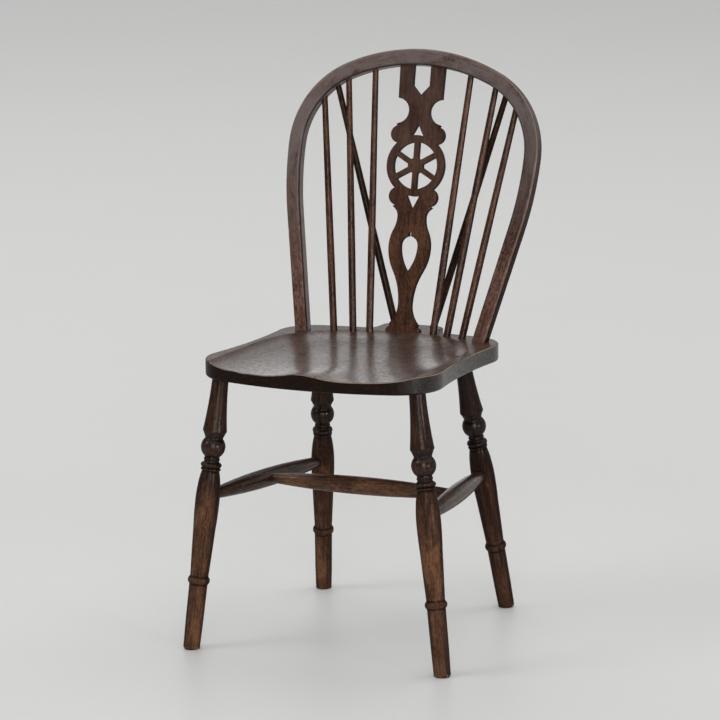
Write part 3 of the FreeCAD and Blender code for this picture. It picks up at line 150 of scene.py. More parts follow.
# Soft lamps round the chair: the direction that they stand in, their width in degrees and their share of the
# side lamps' strength
SIDE_LAMPS = {
    "front_lamp": ((0.42, -0.88, 0.26), 36, 1.6),
    "right_lamp": ((0.9, -0.4, 0.14), 16, 0.8),
    "left_lamp": ((-0.65, -0.5, 0.57), 24, 0.6),
    "back_left_lamp": ((-0.5, 0.6, 0.7), 50, 0.45),
    "back_right_lamp": ((0.5, 0.6, 0.7), 50, 0.45),
}


def paint(red, green, blue):
    """A colour written in 8-bit display values, as the linear colour that shaders take."""
    def linear(value):
        level = value / 255
        return level / 12.92 if level <= 0.04045 else ((level + 0.055) / 1.055) ** 2.4

    return (linear(red), linear(green), linear(blue))


def colour(label, note, display):
    """A colour property with its default."""
    return FloatVectorProperty(name=label, description=note, subtype="COLOR", size=3, min=0, max=1,
                               default=paint(*display))


def share(label, note, default, most=1.0):
    """A factor from 0 up to its most."""
    return FloatProperty(name=label, description=note, default=default, min=0, max=most, subtype="FACTOR")


# Shader maths


class Socket:
    """A shader value that Python's operators do maths on, each adding one Math node."""

    def __init__(self, shader, socket):
        self.shader = shader
        self.socket = socket

    def math(self, operation, *others):
        """Adds one Math node on this value and the others."""
        return self.shader.node("ShaderNodeMath", {"operation": operation}, dict(enumerate((self, *others))))

    def at_least(self, other):
        return self.math("MAXIMUM", other)

    def at_most(self, other):
        return self.math("MINIMUM", other)

    def __add__(self, other):
        return self.math("ADD", other)

    def __sub__(self, other):
        return self.math("SUBTRACT", other)

    def __mul__(self, other):
        return self.math("MULTIPLY", other)

    def __truediv__(self, other):
        return self.math("DIVIDE", other)

    def __pow__(self, other):
        return self.math("POWER", other)

    def __rsub__(self, other):
        return self.shader.node("ShaderNodeMath", {"operation": "SUBTRACT"}, {0: other, 1: self})

    def __abs__(self):
        return self.math("ABSOLUTE")

    __radd__ = __add__
    __rmul__ = __mul__


class Shader:
    """One material and its node tree."""

    def __init__(self, name):
        self.material = bpy.data.materials.new(name)
        self.material.use_nodes = True
        self.tree = self.material.node_tree
        self.tree.nodes.clear()
        self.surface = self.tree.nodes.new("ShaderNodeBsdfPrincipled")
        output = self.tree.nodes.new("ShaderNodeOutputMaterial")
        self.tree.links.new(self.surface.outputs["BSDF"], output.inputs["Surface"])

    @classmethod
    def over(cls, tree):
        """A shader on a node tree that exists, such as the world's."""
        made = cls.__new__(cls)
        made.tree = tree
        return made

    def node(self, kind, settings=None, values=None, output=0):
        """Adds a node, sets it up, then fills or links its sockets, and returns one output."""
        made = self.tree.nodes.new(kind)
        for key, setting in (settings or {}).items():
            if key == "stops":
                self.set_stops(made.color_ramp, setting)
            else:
                setattr(made, key, setting)
        for key, value in (values or {}).items():
            self.fill(made.inputs[key], value)
        return Socket(self, made.outputs[output])

    def fill(self, socket, value):
        """Links a value to a socket, or sets it there."""
        if isinstance(value, Socket):
            self.tree.links.new(value.socket, socket)
        else:
            socket.default_value = value

    @staticmethod
    def set_stops(ramp, stops):
        """Gives a colour ramp its stops, as pairs of position and grey level."""
        while len(ramp.elements) < len(stops):
            ramp.elements.new(1)
        for element, (position, level) in zip(ramp.elements, stops):
            element.position = position
            element.color = (level, level, level, 1)

    def vector(self, operation, first, second):
        return self.node("ShaderNodeVectorMath", {"operation": operation}, {0: first, 1: second})

    def dot(self, first, second):
        settings = {"operation": "DOT_PRODUCT"}
        return self.node("ShaderNodeVectorMath", settings, {0: first, 1: second}, output="Value")

    def join(self, x, y, z):
        return self.node("ShaderNodeCombineXYZ", values={"X": x, "Y": y, "Z": z})

    def part(self, vector, axis):
        """One number of a vector, by its axis: 0, 1 or 2."""
        return self.node("ShaderNodeSeparateXYZ", values={"Vector": vector}, output=axis)

    def smooth(self, value, low, high):
        """0 under low, 1 over high and smooth between them."""
        return self.node("ShaderNodeMapRange", {"interpolation_type": "SMOOTHSTEP"},
                         {"Value": value, "From Min": low, "From Max": high})

    def bands(self, value, levels, soft):
        """1 at each of the levels of a value and 0 away from them."""
        found = None
        for level, half in levels:
            near = self.smooth(abs(value - level), half + soft, half)
            found = near if found is None else found.at_least(near)
        return found

    def ramp(self, value, stops):
        """A grey level for a value, from stops of position and grey level."""
        return self.node("ShaderNodeValToRGB", {"stops": stops}, {"Fac": value})

    def noise(self, place, scales, detail, rough, bend=0.0, seed=0.0):
        """Noise with its own scale, in cells per metre, on each axis."""
        at = self.vector("MULTIPLY", place, scales)
        if seed:
            at = self.vector("ADD", at, (seed, seed * 1.7, seed * 2.3))
        return self.node("ShaderNodeTexNoise", values={
            "Vector": at, "Scale": 1.0, "Detail": detail, "Roughness": rough, "Distortion": bend})

    def mix(self, factor, first, second):
        """Mixes two colours, through the sockets that a Mix node keeps for colours."""
        first, second = (c if isinstance(c, Socket) else (*c, 1) for c in (first, second))
        return self.node("ShaderNodeMix", {"data_type": "RGBA"}, {0: factor, 6: first, 7: second}, output=2)

    def position(self):
        """Place in the chair's frame."""
        return self.node("ShaderNodeTexCoord", output="Object")

    def facing(self):
        """The surface's own direction in the chair's frame, before any bump."""
        return self.node("ShaderNodeNewGeometry", output="Normal")

    def within(self, origin, axes):
        """Place in a frame with its own origin and turned axes."""
        return self.node("ShaderNodeMapping", {"vector_type": "TEXTURE"}, {
            "Vector": self.position(), "Location": origin, "Rotation": axes.to_euler()})

    def painted_light_front(self):
        """1 towards the side facing the front, 0 towards the far sides and the back: a mask for painted light
        on the front and painted shade on the sides, which also sets where wax lies.
        """
        return self.smooth(self.dot(self.facing(), PAINTED_LIGHT_SIDE), 0.25, 0.85)

    def along(self, origin, direction, turn=0.0):
        """Place in a frame whose z runs along a piece from its origin, turned round that z."""
        axes = Vector(direction).to_track_quat("Z", "Y").to_matrix()
        return self.within(origin, axes @ Matrix.Rotation(turn, 3, "Z"))


# Wood


def wood(shader, place, finish, seed, worn=None, grime=None, waxed=1, stain=0, painted_sheen=None, fine=1.0):
    """Stained, waxed and worn wood whose grain runs along z of the given place.

    worn, grime, waxed and stain say where edges are bare, the colour darkens towards the pore colour, wax is
    left and the stain has built up; stain masks also carry painted shade. The sheen mask paints a grey sheen,
    a painted reflection, into the colour. A stain that is a plain number is even: it only makes the light
    streaks and patches smaller. fine under 1 broadens the streaks and rings.
    """
    def noise(name, closeness=1.0):
        across, along, detail, rough, bend, offset = WOOD_NOISES[name]
        scales = (across * closeness, across * closeness, along)
        return shader.noise(place, scales, detail, rough, bend, seed + offset)

    streak, mottle, speck = noise("streaks", fine), noise("mottle"), noise("specks")
    rings = (noise("figure", fine) * (RING_TURNS * finish.figure)).math("SINE") * 0.5 + 0.5
    pores = shader.smooth(noise("pores"), 0.54, 0.66)
    grain = streak * 0.85 + rings * 0.15
    # The stain: streaks, faded and dark patches, dark and light flecks, and pores
    tint = shader.mix(shader.smooth(grain - 0.25 * stain, 0.24, 0.58), finish.deep, finish.body)
    tint = shader.mix(shader.smooth(mottle - 0.3 * stain, 0.47, 0.62) * finish.fading, tint, finish.light)
    tint = shader.mix(shader.smooth(mottle - 0.12 * stain, 0.48, 0.32) * 0.7, tint, finish.deep)
    tint = shader.mix(shader.smooth(speck, 0.5, 0.6) * finish.fleck, tint, finish.deep)
    tint = shader.mix(shader.smooth(speck, 0.46, 0.36) * finish.fleck * 0.8, tint, finish.light)
    tint = shader.mix(pores * (0.2 + 0.5 * finish.fleck), tint, finish.pore)
    # Stain masks also carry painted shade here: on sides turned away from the front and on the back legs
    if isinstance(stain, Socket):
        tint = shader.mix(stain * 0.7, tint, finish.dark)
    rough = (mottle - 0.5) * 0.3 + (speck - 0.5) * 0.3 + pores * 0.12 + finish.roughness
    # Painted sheen: a grey reflection mixed into the colour, broken in patches
    if painted_sheen is not None:
        pale_grey = tuple(c * 1.3 for c in finish.grey)
        grey = shader.mix(shader.smooth(speck, 0.4, 0.6), finish.grey, pale_grey)
        patches = mottle + (speck - 0.5) * 0.8
        tint = shader.mix(painted_sheen * shader.smooth(patches, 0.24, 0.58) * 0.64, tint, grey)
    if worn is not None:
        bared = shader.smooth(worn * 0.8 + noise("rubbing") * 0.8, 0.86, 1.12) * finish.wear
        tint = shader.mix(bared, tint, finish.bare)
        rough = rough + bared * 0.1
    if grime is not None:
        tint = shader.mix(grime, tint, finish.pore)
        rough = rough + grime * 0.12
    wax = (1 - pores * 0.4) * (shader.smooth(speck, 0.66, 0.34) * 0.45 + 0.65) * finish.wax
    height = streak * 0.4 + rings * 0.1 - pores * 0.6 + mottle * 0.3 + speck * 0.35
    relief = shader.node("ShaderNodeBump", values={
        "Strength": BUMP_STRENGTH, "Distance": finish.relief, "Height": height})
    inputs = shader.surface.inputs
    shader.fill(inputs["Base Color"], tint)
    shader.fill(inputs["Roughness"], rough.at_least(LEAST_ROUGHNESS))
    shader.fill(inputs["Coat Weight"], wax * waxed)
    shader.fill(inputs["Normal"], relief)
    inputs["Specular IOR Level"].default_value = finish.gloss
    inputs["Coat Roughness"].default_value = finish.wax_roughness
    inputs["Coat IOR"].default_value = finish.wax_index


def dress(node, shader):
    """Gives a construction node its new material."""
    for slot in NODES[node].material_slots:
        slot.material = shader.material
    for face in NODES[node].data.polygons:
        face.use_smooth = True


def finish_fields(deep, body, light, bare=(160, 126, 100), gloss=0.02, roughness=0.46, wax=0.6,
                  wax_roughness=0.16, wax_index=1.4, wear=0.7, fading=0.5, fleck=0.4):
    """Colours, in 8-bit display values, and gloss of one kind of stained wood."""
    return {
        "deep": colour("Deep stain", "Darkest streaks of the stain", deep),
        "body": colour("Body colour", "Main colour of the stain", body),
        "light": colour("Faded colour", "Where handling has thinned the stain", light),
        "bare": colour("Worn wood", "Wood that shows through on worn edges", bare),
        "pore": colour("Pores and dirt", "Pores, scratches and old dirt", (12, 8, 6)),
        # The built-up stain colour also paints shade where a stain mask carries painted shade
        "dark": colour("Stain built up", "Where the stain lies thickest", (20, 12, 9)),
        # The dulled colour is a painted sheen: a grey reflection painted into the colour
        "grey": colour("Dulled colour", "Where the finish has gone grey", (98, 93, 91)),
        "roughness": share("Roughness", "Roughness of the wood under the wax", roughness),
        "gloss": share("Gloss", "Strength of the wood's own reflection", gloss),
        "wax": share("Wax", "Weight of the wax over the stain", wax, 2),
        "wax_roughness": share("Wax roughness", "Roughness of the wax", wax_roughness),
        "wax_index": share("Wax index", "Index of refraction of the wax", wax_index, 2),
        "wear": share("Wear", "How far worn edges show bare wood", wear),
        "fading": share("Fading", "How far the stain has thinned in patches", fading),
        "fleck": share("Fleck", "How strongly small flecks show", fleck),
        "figure": FloatProperty(name="Figure", description="How closely the growth rings lie", default=1.0,
                                min=0),
        "relief": FloatProperty(name="Relief", description="Depth of grain and pores", default=0.0004, min=0,
                                subtype="DISTANCE", unit="LENGTH"),
    }


class SeatFinish(bpy.types.PropertyGroup):
    """Finish of the seat"""

    __annotations__ = finish_fields(deep=(42, 28, 22), body=(74, 54, 44), light=(98, 76, 63),
                                    bare=(174, 146, 126), gloss=0.04, roughness=0.34, wax=1.4,
                                    wax_roughness=0.26, wax_index=1.56, fleck=0.5)


class BowFinish(bpy.types.PropertyGroup):
    """Finish of the bow"""

    __annotations__ = finish_fields(deep=(54, 34, 28), body=(95, 67, 58), light=(120, 93, 82), roughness=0.45,
                                    wear=0.32, fleck=0.8)


class SplatFinish(bpy.types.PropertyGroup):
    """Finish of the splat"""

    __annotations__ = finish_fields(deep=(46, 28, 20), body=(75, 49, 37), light=(98, 66, 46), fleck=0.6)


class StickFinish(bpy.types.PropertyGroup):
    """Finish of the sticks and braces"""

    __annotations__ = finish_fields(deep=(30, 17, 11), body=(76, 47, 34), light=(114, 75, 52), fading=0.4,
                                    fleck=0.6)


class LegFinish(bpy.types.PropertyGroup):
    """Finish of the legs and stretchers"""

    __annotations__ = finish_fields(deep=(44, 28, 21), body=(80, 55, 41), light=(112, 78, 55), fading=0.7)


class StageSettings(bpy.types.PropertyGroup):
    """Floor, light and camera"""

    floor: colour("Floor", "Colour of the floor and of the backdrop", (210, 210, 209))
    sky: share("Sky", "Strength of the even light all round", 0.12, 4)
    backdrop_glow: share("Backdrop glow", "Strength of the light from low behind the chair", 1.15, 4)
    overhead: FloatProperty(name="Overhead lamp", description="Strength of the wide soft lamp overhead",
                            default=1.6, min=0)
    side: FloatProperty(name="Side lamps", description="Strength of the soft lamps at both sides",
                        default=0.8, min=0)
    azimuth: FloatProperty(name="Azimuth", description="Turn of the camera to the chair's right side",
                           default=math.radians(23.03), subtype="ANGLE", unit="ROTATION")
    elevation: FloatProperty(name="Elevation", description="Height of the camera above the horizon",
                             default=math.radians(11.12), subtype="ANGLE", unit="ROTATION")
    roll: FloatProperty(name="Roll", description="Tilt of the camera", default=math.radians(-0.52),
                        subtype="ANGLE", unit="ROTATION")
    distance: FloatProperty(name="Distance", description="Camera to the point it looks at", default=5.0162,
                            subtype="DISTANCE", unit="LENGTH")
    lens: FloatProperty(name="Lens", description="Focal length", default=160.83, subtype="DISTANCE_CAMERA")
    aim_side: FloatProperty(name="Aim to the side", description="Sideways place of the point looked at",
                            default=-0.0157, subtype="DISTANCE", unit="LENGTH")
    aim_height: FloatProperty(name="Aim height", description="Height of the point looked at",
                              default=0.42698, subtype="DISTANCE", unit="LENGTH")


class ChairSettings(bpy.types.PropertyGroup):
    """All settings of the chair's looks"""

    seat: PointerProperty(type=SeatFinish)
    bow: PointerProperty(type=BowFinish)
    splat: PointerProperty(type=SplatFinish)
    stick: PointerProperty(type=StickFinish)
    leg: PointerProperty(type=LegFinish)
    stage: PointerProperty(type=StageSettings)


class ChairOperator:
    """What the chair's operators share."""

    bl_options = {"REGISTER", "UNDO"}

    @staticmethod
    def settings(context):
        return context.scene.wheelback_chair


class CHAIR_OT_seat(ChairOperator, bpy.types.Operator):
    """Finish the saddled seat"""

    bl_idname = "chair.seat"
    bl_label = "Seat"

    def execute(self, context):
        finish = self.settings(context).seat
        shader = Shader("seat_wood")
        place = shader.along((0, 0, SEAT_TOP), SEAT_GRAIN)
        upward = shader.part(shader.facing(), 2)
        on_top = shader.smooth(upward, 0.5, 0.95)
        hollow = shader.smooth(shader.part(shader.position(), 2), *SADDLE_LEVELS)
        worn = self.worn_rim(shader, place, upward).at_least(self.scratches(shader) * hollow * on_top * 0.7)
        right_edge = shader.smooth(shader.dot(shader.facing(), SEAT_RIGHT_EDGE), 0.6, 0.95)
        waxed = on_top * (hollow * 0.65 + 0.25) + right_edge * 0.6 + 0.03
        # Darker on the sides than on the top
        wood(shader, place, finish, seed=3.1, worn=worn, grime=(1 - on_top) * 0.2, waxed=waxed,
             stain=1 - on_top)
        dress("seat", shader)
        return {"FINISHED"}

    @staticmethod
    def worn_rim(shader, place, upward):
        """1 where the seat's top turns over at its front and sides, less in some patches."""
        turning = shader.ramp(upward * 0.5 + 0.5, ((0.62, 0), (0.74, 1), (0.88, 1), (0.945, 0)))
        to_front = shader.smooth(shader.part(shader.position(), 1), *SEAT_FRONT_Y)
        patches = shader.noise(place, (9, 9, 9), detail=2, rough=0.5, seed=4.1)
        return turning * to_front * (shader.smooth(patches, 0.35, 0.6) * 0.35 + 0.65)

    @staticmethod
    def scratches(shader):
        """1 on short scratches that run askew over the seat."""
        askew = shader.along((0, 0, SEAT_TOP), SEAT_SCRATCHES)
        return shader.smooth(shader.noise(askew, (520, 520, 22), detail=2, rough=0.5, seed=7.7), 0.63, 0.68)


def bow_plane(shader):
    """Place in the bow's own leaning and slightly turned plane: across, depth and rise."""
    lean = Matrix.Rotation(-BOW_LEAN, 3, "X")
    axes = lean @ Matrix.Rotation(BOW_TURN, 3, "Y")
    middle = Vector((0, 0, SHOULDER_LEVEL))
    origin = Vector((0, BOW_FRONT, SEAT_TOP)) + lean @ middle - axes @ middle
    place = shader.within(origin, axes)
    return [shader.part(place, axis) for axis in range(3)]


def bow_place(shader, across, depth, rise):
    """Place along the bent bow: across its face, through its depth, and along its middle line."""
    side = abs(across)

    def turn_round(centre_x, centre_level, radius):
        x, level = side - centre_x, rise - centre_level
        return (x * x + level * level) ** 0.5 - radius, x.math("ARCTAN2", level)

    crown_off, crown_turn = turn_round(0, CROWN_LEVEL, CROWN_RADIUS)
    shoulder_off, shoulder_turn = turn_round(SHOULDER_X, SHOULDER_LEVEL, SHOULDER_RADIUS)
    flank_off, _ = turn_round(FLANK_X, SHOULDER_LEVEL, FLANK_RADIUS)
    foot_off = (side - BOW_FOOT_X - rise * BOW_FOOT_SLOPE) * math.cos(math.atan(BOW_FOOT_SLOPE))
    on_crown = crown_turn.math("LESS_THAN", CROWN_TURN)
    under_shoulder = rise.math("LESS_THAN", SHOULDER_LEVEL)
    on_foot = rise.math("LESS_THAN", FLANK_END)
    on_flank = under_shoulder - on_foot
    on_shoulder = 1 - on_crown - under_shoulder
    crown_end = CROWN_RADIUS * CROWN_TURN
    shoulder_end = crown_end + SHOULDER_RADIUS * (math.pi / 2 - CROWN_TURN)
    off = on_crown * crown_off + on_shoulder * shoulder_off + on_flank * flank_off + on_foot * foot_off
    way = (on_crown * crown_turn * CROWN_RADIUS
           + on_shoulder * ((shoulder_turn - CROWN_TURN) * SHOULDER_RADIUS + crown_end)
           + under_shoulder * (shoulder_end + SHOULDER_LEVEL - rise))
    return shader.join(off, depth, way * across.math("SIGN"))


class CHAIR_OT_bow(ChairOperator, bpy.types.Operator):
    """Finish the bent bow and the wedges of its tenons"""

    bl_idname = "chair.bow"
    bl_label = "Bow"

    def execute(self, context):
        finish = self.settings(context).bow
        self.finish_bow(finish)
        for hand, side in SIDES.items():
            self.finish_wedge(finish, hand, side)
        return {"FINISHED"}

    @staticmethod
    def finish_bow(finish):
        """Wood that bends with the bow, worn on its outer arris, with a dark line along its inner arris, and
        a painted grey sheen towards its crown and on its inner side.
        """
        shader = Shader("bow_wood")
        across, depth, rise = bow_plane(shader)
        place = bow_place(shader, across, depth, rise)
        off = shader.part(place, 0)
        to_front = shader.dot(shader.facing(), (0, -math.cos(BOW_LEAN), math.sin(BOW_LEAN)))
        inner, outer = shader.smooth(off, 0, -0.006), shader.smooth(off, 0, 0.006)
        inner_line = shader.ramp(to_front, ((0.1, 0), (0.45, 1), (0.75, 0.6), (0.95, 0))) * inner
        inner_sheen = shader.smooth(to_front, 0.3, 0.05) * inner
        outer_side = shader.smooth(to_front, 0.6, 0.2) * outer
        arris = shader.ramp(to_front, ((0.55, 0), (0.72, 1), (0.84, 1), (0.94, 0)))
        arris = arris * shader.smooth(off, -0.002, 0.008)
        scars = shader.bands(rise + off * 0.3, BOW_SCARS, soft=0.0007) * shader.smooth(off, 0.004, -0.001)
        scars = scars * shader.smooth(across, 0.1, 0.12) * shader.smooth(to_front, 0.9, 0.97) * 0.8
        right_side = shader.smooth(across, *BOW_FLANK) * shader.smooth(rise, *BOW_FLANK)
        # Painted sheen: a grey reflection painted into the colour towards the crown and on the inner side
        crown = shader.smooth(rise - across * 0.25, *BOW_CROWN_SHEEN)
        wood(shader, place, finish, seed=1.7, worn=arris.at_least(scars), grime=inner_line * 0.9,
             waxed=1 - outer_side * 0.95, stain=(outer_side + right_side * 0.3).at_most(1),
             painted_sheen=crown.at_least(inner_sheen))
        dress("bow", shader)

    @staticmethod
    def finish_wedge(finish, hand, side):
        """Plain wood on the wedge in one of the bow's tenons."""
        shader = Shader("bow_wedge_wood_" + hand)
        low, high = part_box("bow_wedge_" + hand)
        grain = (-side * 0.2, 0.25, 1)
        place = shader.along((low + high) / 2, grain)
        wood(shader, place, finish, seed=4.4 + side)
        dress("bow_wedge_" + hand, shader)


class CHAIR_OT_splat(ChairOperator, bpy.types.Operator):
    """Finish the fretted splat with its wheel"""

    bl_idname = "chair.splat"
    bl_label = "Splat"

    def execute(self, context):
        finish = self.settings(context).splat
        shader = Shader("splat_wood")
        low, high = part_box("splat")
        rise = Vector((0, high.y - low.y - SPLAT_THICKNESS, high.z - low.z)).normalized()
        place = shader.along((0, SPLAT_FOOT_Y, SEAT_TOP), rise)
        through = Vector((1, 0, 0)).cross(rise)
        flat = shader.smooth(abs(shader.dot(shader.facing(), through)), 0.4, 0.95)
        upper = shader.smooth(shader.part(place, 2), *SPLAT_UPPER_PART)
        # Painted sheen: a light grey reflection painted into the colour of the upper part
        wood(shader, place, finish, seed=6.3, waxed=flat, stain=1 - flat * (1 - upper * 0.15),
             painted_sheen=upper * 0.2, fine=0.8)
        dress("splat", shader)
        return {"FINISHED"}


def mesh_points(node):
    """The points of a construction node's mesh."""
    return np.array([vertex.co for vertex in NODES[node].data.vertices])


def mesh_axis(node, end_reach=0.004):
    """The ends of a long straight piece's middle line: the lower one and the upper one."""
    points = mesh_points(node)
    middle = points.mean(0)
    direction = np.linalg.svd(points - middle, full_matrices=False)[2][0]
    reach = (points - middle) @ direction
    ends = [points[np.abs(reach - limit) < end_reach].mean(0) for limit in (reach.min(), reach.max())]
    ends.sort(key=lambda point: point[2])
    return Vector(ends[0]), Vector(ends[1])


class CHAIR_OT_sticks(ChairOperator, bpy.types.Operator):
    """Finish the sticks and the two braces behind them"""

    bl_idname = "chair.sticks"
    bl_label = "Sticks and braces"

    def execute(self, context):
        finish = self.settings(context).stick
        sticks = ["stick_%s_%s" % (kind, hand) for kind in ("inner", "middle", "outer") for hand in SIDES]
        for number, node in enumerate(sticks + ["brace_left", "brace_right"]):
            shader = Shader(node + "_wood")
            low, high = mesh_axis(node)
            place = shader.along(low, high - low, number)
            painted_light_front = shader.painted_light_front() * (1 if node in sticks else BRACE_PAINTED_LIGHT)
            foot = shader.smooth(shader.part(place, 2), *STICK_FOOT)
            # Painted light on the front of each stick and brace, and painted shade on its sides and back,
            # through the stain; the wax follows the same side
            wood(shader, place, finish, seed=11.0 + number * 3.7, grime=foot * 0.55, waxed=painted_light_front,
                 stain=1 - painted_light_front)
            dress(node, shader)
        return {"FINISHED"}


def leg_axis(node, floor_reach=1e-5, end_reach=0.003):
    """The middle line of a leg: its point on the floor and its point at the end of its tenon."""
    points = mesh_points(node)
    rim = points[points[:, 2] < floor_reach]
    foot = (rim.min(0) + rim.max(0)) / 2
    direction = points.mean(0) - foot
    reach = (points - foot) @ (direction / np.linalg.norm(direction))
    end = points[reach > reach.max() - end_reach]
    return Vector(foot), Vector((end.min(0) + end.max(0)) / 2)


def swelling_line(first, last, swell):
    """Points after the first on the arc that swells sideways from the straight line to the last."""
    if not swell:
        return [last]
    first, last = Vector(first), Vector(last)
    half = (last - first).length / 2
    along = (last - first).normalized()
    outward = Vector((-along.y, along.x))
    turn = 2 * math.atan(swell / half)
    radius = half / math.sin(turn)
    count = 6 + 2 * int(abs(swell))
    angles = [turn * (2 * step / count - 1) for step in range(1, count + 1)]
    middle = (first + last) / 2
    return [middle + along * radius * math.sin(angle) + outward * radius * (math.cos(angle) - math.cos(turn))
            for angle in angles]


def leg_outline(length):
    """Points of a leg's half outline in millimetres, from under the floor to the end of its tenon."""
    points = [LEG_OUTLINE[0][:2]]
    for level, radius, swell in LEG_OUTLINE[1:]:
        points += [tuple(point) for point in swelling_line(points[-1], (level, radius), swell)]
    points.append((length * MM_PER_METRE, LEG_OUTLINE[-1][1] - LEG_TENON_TAPER))
    return points


def turned_leg(node, foot, top):
    """A leg turned to its full outline, standing where the construction node stands."""
    axes = (top - foot).to_track_quat("Z", "Y").to_matrix()
    angles = np.linspace(0, 2 * math.pi, LEG_SIDES, endpoint=False)
    made = bmesh.new()
    rings = []
    for level, radius in leg_outline((top - foot).length):
        ring = [Vector((math.cos(angle) * radius, math.sin(angle) * radius, level)) for angle in angles]
        rings.append([made.verts.new(foot + axes @ point / MM_PER_METRE) for point in ring])
    for lower, upper in zip(rings, rings[1:]):
        for side in range(LEG_SIDES):
            after = (side + 1) % LEG_SIDES
            made.faces.new((lower[side], lower[after], upper[after], upper[side]))
    bmesh.ops.bisect_plane(made, geom=made.verts[:] + made.edges[:] + made.faces[:], plane_co=(0, 0, 0),
                           plane_no=(0, 0, -1), clear_outer=True)
    bmesh.ops.holes_fill(made, edges=[edge for edge in made.edges if edge.is_boundary])
    for face in made.faces:
        face.smooth = True
    for edge in made.edges:
        edge.smooth = edge.calc_face_angle(0) < SHARP_EDGE
    mesh = bpy.data.meshes.new(node + "_turned")
    made.to_mesh(mesh)
    made.free()
    leg = bpy.data.objects.new(node + "_turned", mesh)
    bpy.context.scene.collection.objects.link(leg)
    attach(leg, "root")
    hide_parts(node)
    return leg


class CHAIR_OT_legs(ChairOperator, bpy.types.Operator):
    """Turn and finish the four legs"""

    bl_idname = "chair.legs"
    bl_label = "Legs"

    def execute(self, context):
        finish = self.settings(context).leg
        for number, node in enumerate(LEG_PAINTED_SHADE):
            shader = Shader(node + "_wood")
            foot, top = leg_axis(node)
            leg = turned_leg(node, foot, top)
            place = shader.along(foot, top - foot, number)
            level = shader.part(place, 2)
            patches = shader.noise(place, (60, 60, 24), detail=3, rough=0.6, bend=0.4, seed=number)
            worn_foot = shader.smooth(level + patches * 0.012, *LEG_FOOT) * 0.65
            stain = self.stain(shader, level, patches, *LEG_PAINTED_SHADE[node])
            wood(shader, place, finish, seed=2.0 + number * 5.3, worn=worn_foot,
                 grime=self.dirt(shader, level, patches), waxed=self.waxed(shader, level), stain=stain)
            leg.data.materials.append(shader.material)
        return {"FINISHED"}

    @staticmethod
    def stain(shader, level, patches, above_ring, all_over):
        """Where the leg is darker: stain built up on the turnings, darker towards the seat, and painted shade
        on the back legs and on the sides turned away from the front.
        """
        turnings = shader.smooth(level + patches * 0.12, *LEG_TURNINGS_START)
        turnings = turnings * shader.smooth(level, *LEG_TURNINGS_END)
        built_up = turnings * 0.5 + shader.smooth(level, *LEG_UNDER_SEAT) * 0.65
        # Painted shade of the seat on the back legs
        built_up = built_up + shader.smooth(level, *LEG_OVER_RING) * above_ring + all_over
        # Painted shade on the sides turned away from the front
        return (built_up + (1 - shader.painted_light_front()) * 0.5).at_most(1)

    @staticmethod
    def dirt(shader, level, patches):
        """Darker lines in the grooves and darker bands in the hollows under the ball and the cone, less in
        some patches.
        """
        grooves = shader.bands(level, LEG_GROOVES, soft=0.0018)
        hollows = shader.bands(level, LEG_HOLLOWS, soft=0.005)
        return (grooves * 0.7).at_least(hollows * 0.7) * shader.smooth(patches, 0.2, 0.45)

    @staticmethod
    def waxed(shader, level):
        """Where wax is left: most on the turnings, less on the cone above and little below them."""
        on_cone = shader.smooth(level, *LEG_WAX_END)
        wax = shader.smooth(level, *LEG_WAX_START) * (0.75 - on_cone * 0.3) + 0.15
        return wax * (shader.painted_light_front() * 0.7 + 0.3)


class CHAIR_OT_stretchers(ChairOperator, bpy.types.Operator):
    """Finish the stretchers"""

    bl_idname = "chair.stretchers"
    bl_label = "Stretchers"

    def execute(self, context):
        finish = self.settings(context).leg
        for number, (node, stain) in enumerate(STRETCHER_STAIN.items()):
            shader = Shader(node + "_wood")
            low, high = mesh_axis(node)
            place = shader.along(low, high - low, number)
            from_middle = abs(shader.part(place, 2) / (high - low).length - 0.5)
            ends = shader.smooth(from_middle, *STRETCHER_ENDS) * 0.5
            wood(shader, place, finish, seed=40.0 + number * 4.1, grime=ends, stain=stain)
            dress(node, shader)
        return {"FINISHED"}


def camera_place(stage):
    """The camera's matrix from its angles, its distance and the point it looks at."""
    azimuth, elevation, roll = stage.azimuth, stage.elevation, stage.roll
    right = Vector((math.cos(azimuth), math.sin(azimuth), 0))
    back = Vector((math.sin(azimuth) * math.cos(elevation), -math.cos(azimuth) * math.cos(elevation),
                   math.sin(elevation)))
    up = back.cross(right)
    rolled_right = right * math.cos(roll) + up * math.sin(roll)
    rolled_up = up * math.cos(roll) - right * math.sin(roll)
    place = back * stage.distance + right * stage.aim_side + Vector((0, 0, stage.aim_height))
    turned = Matrix((rolled_right, rolled_up, back)).transposed().to_4x4()
    return Matrix.Translation(place) @ turned


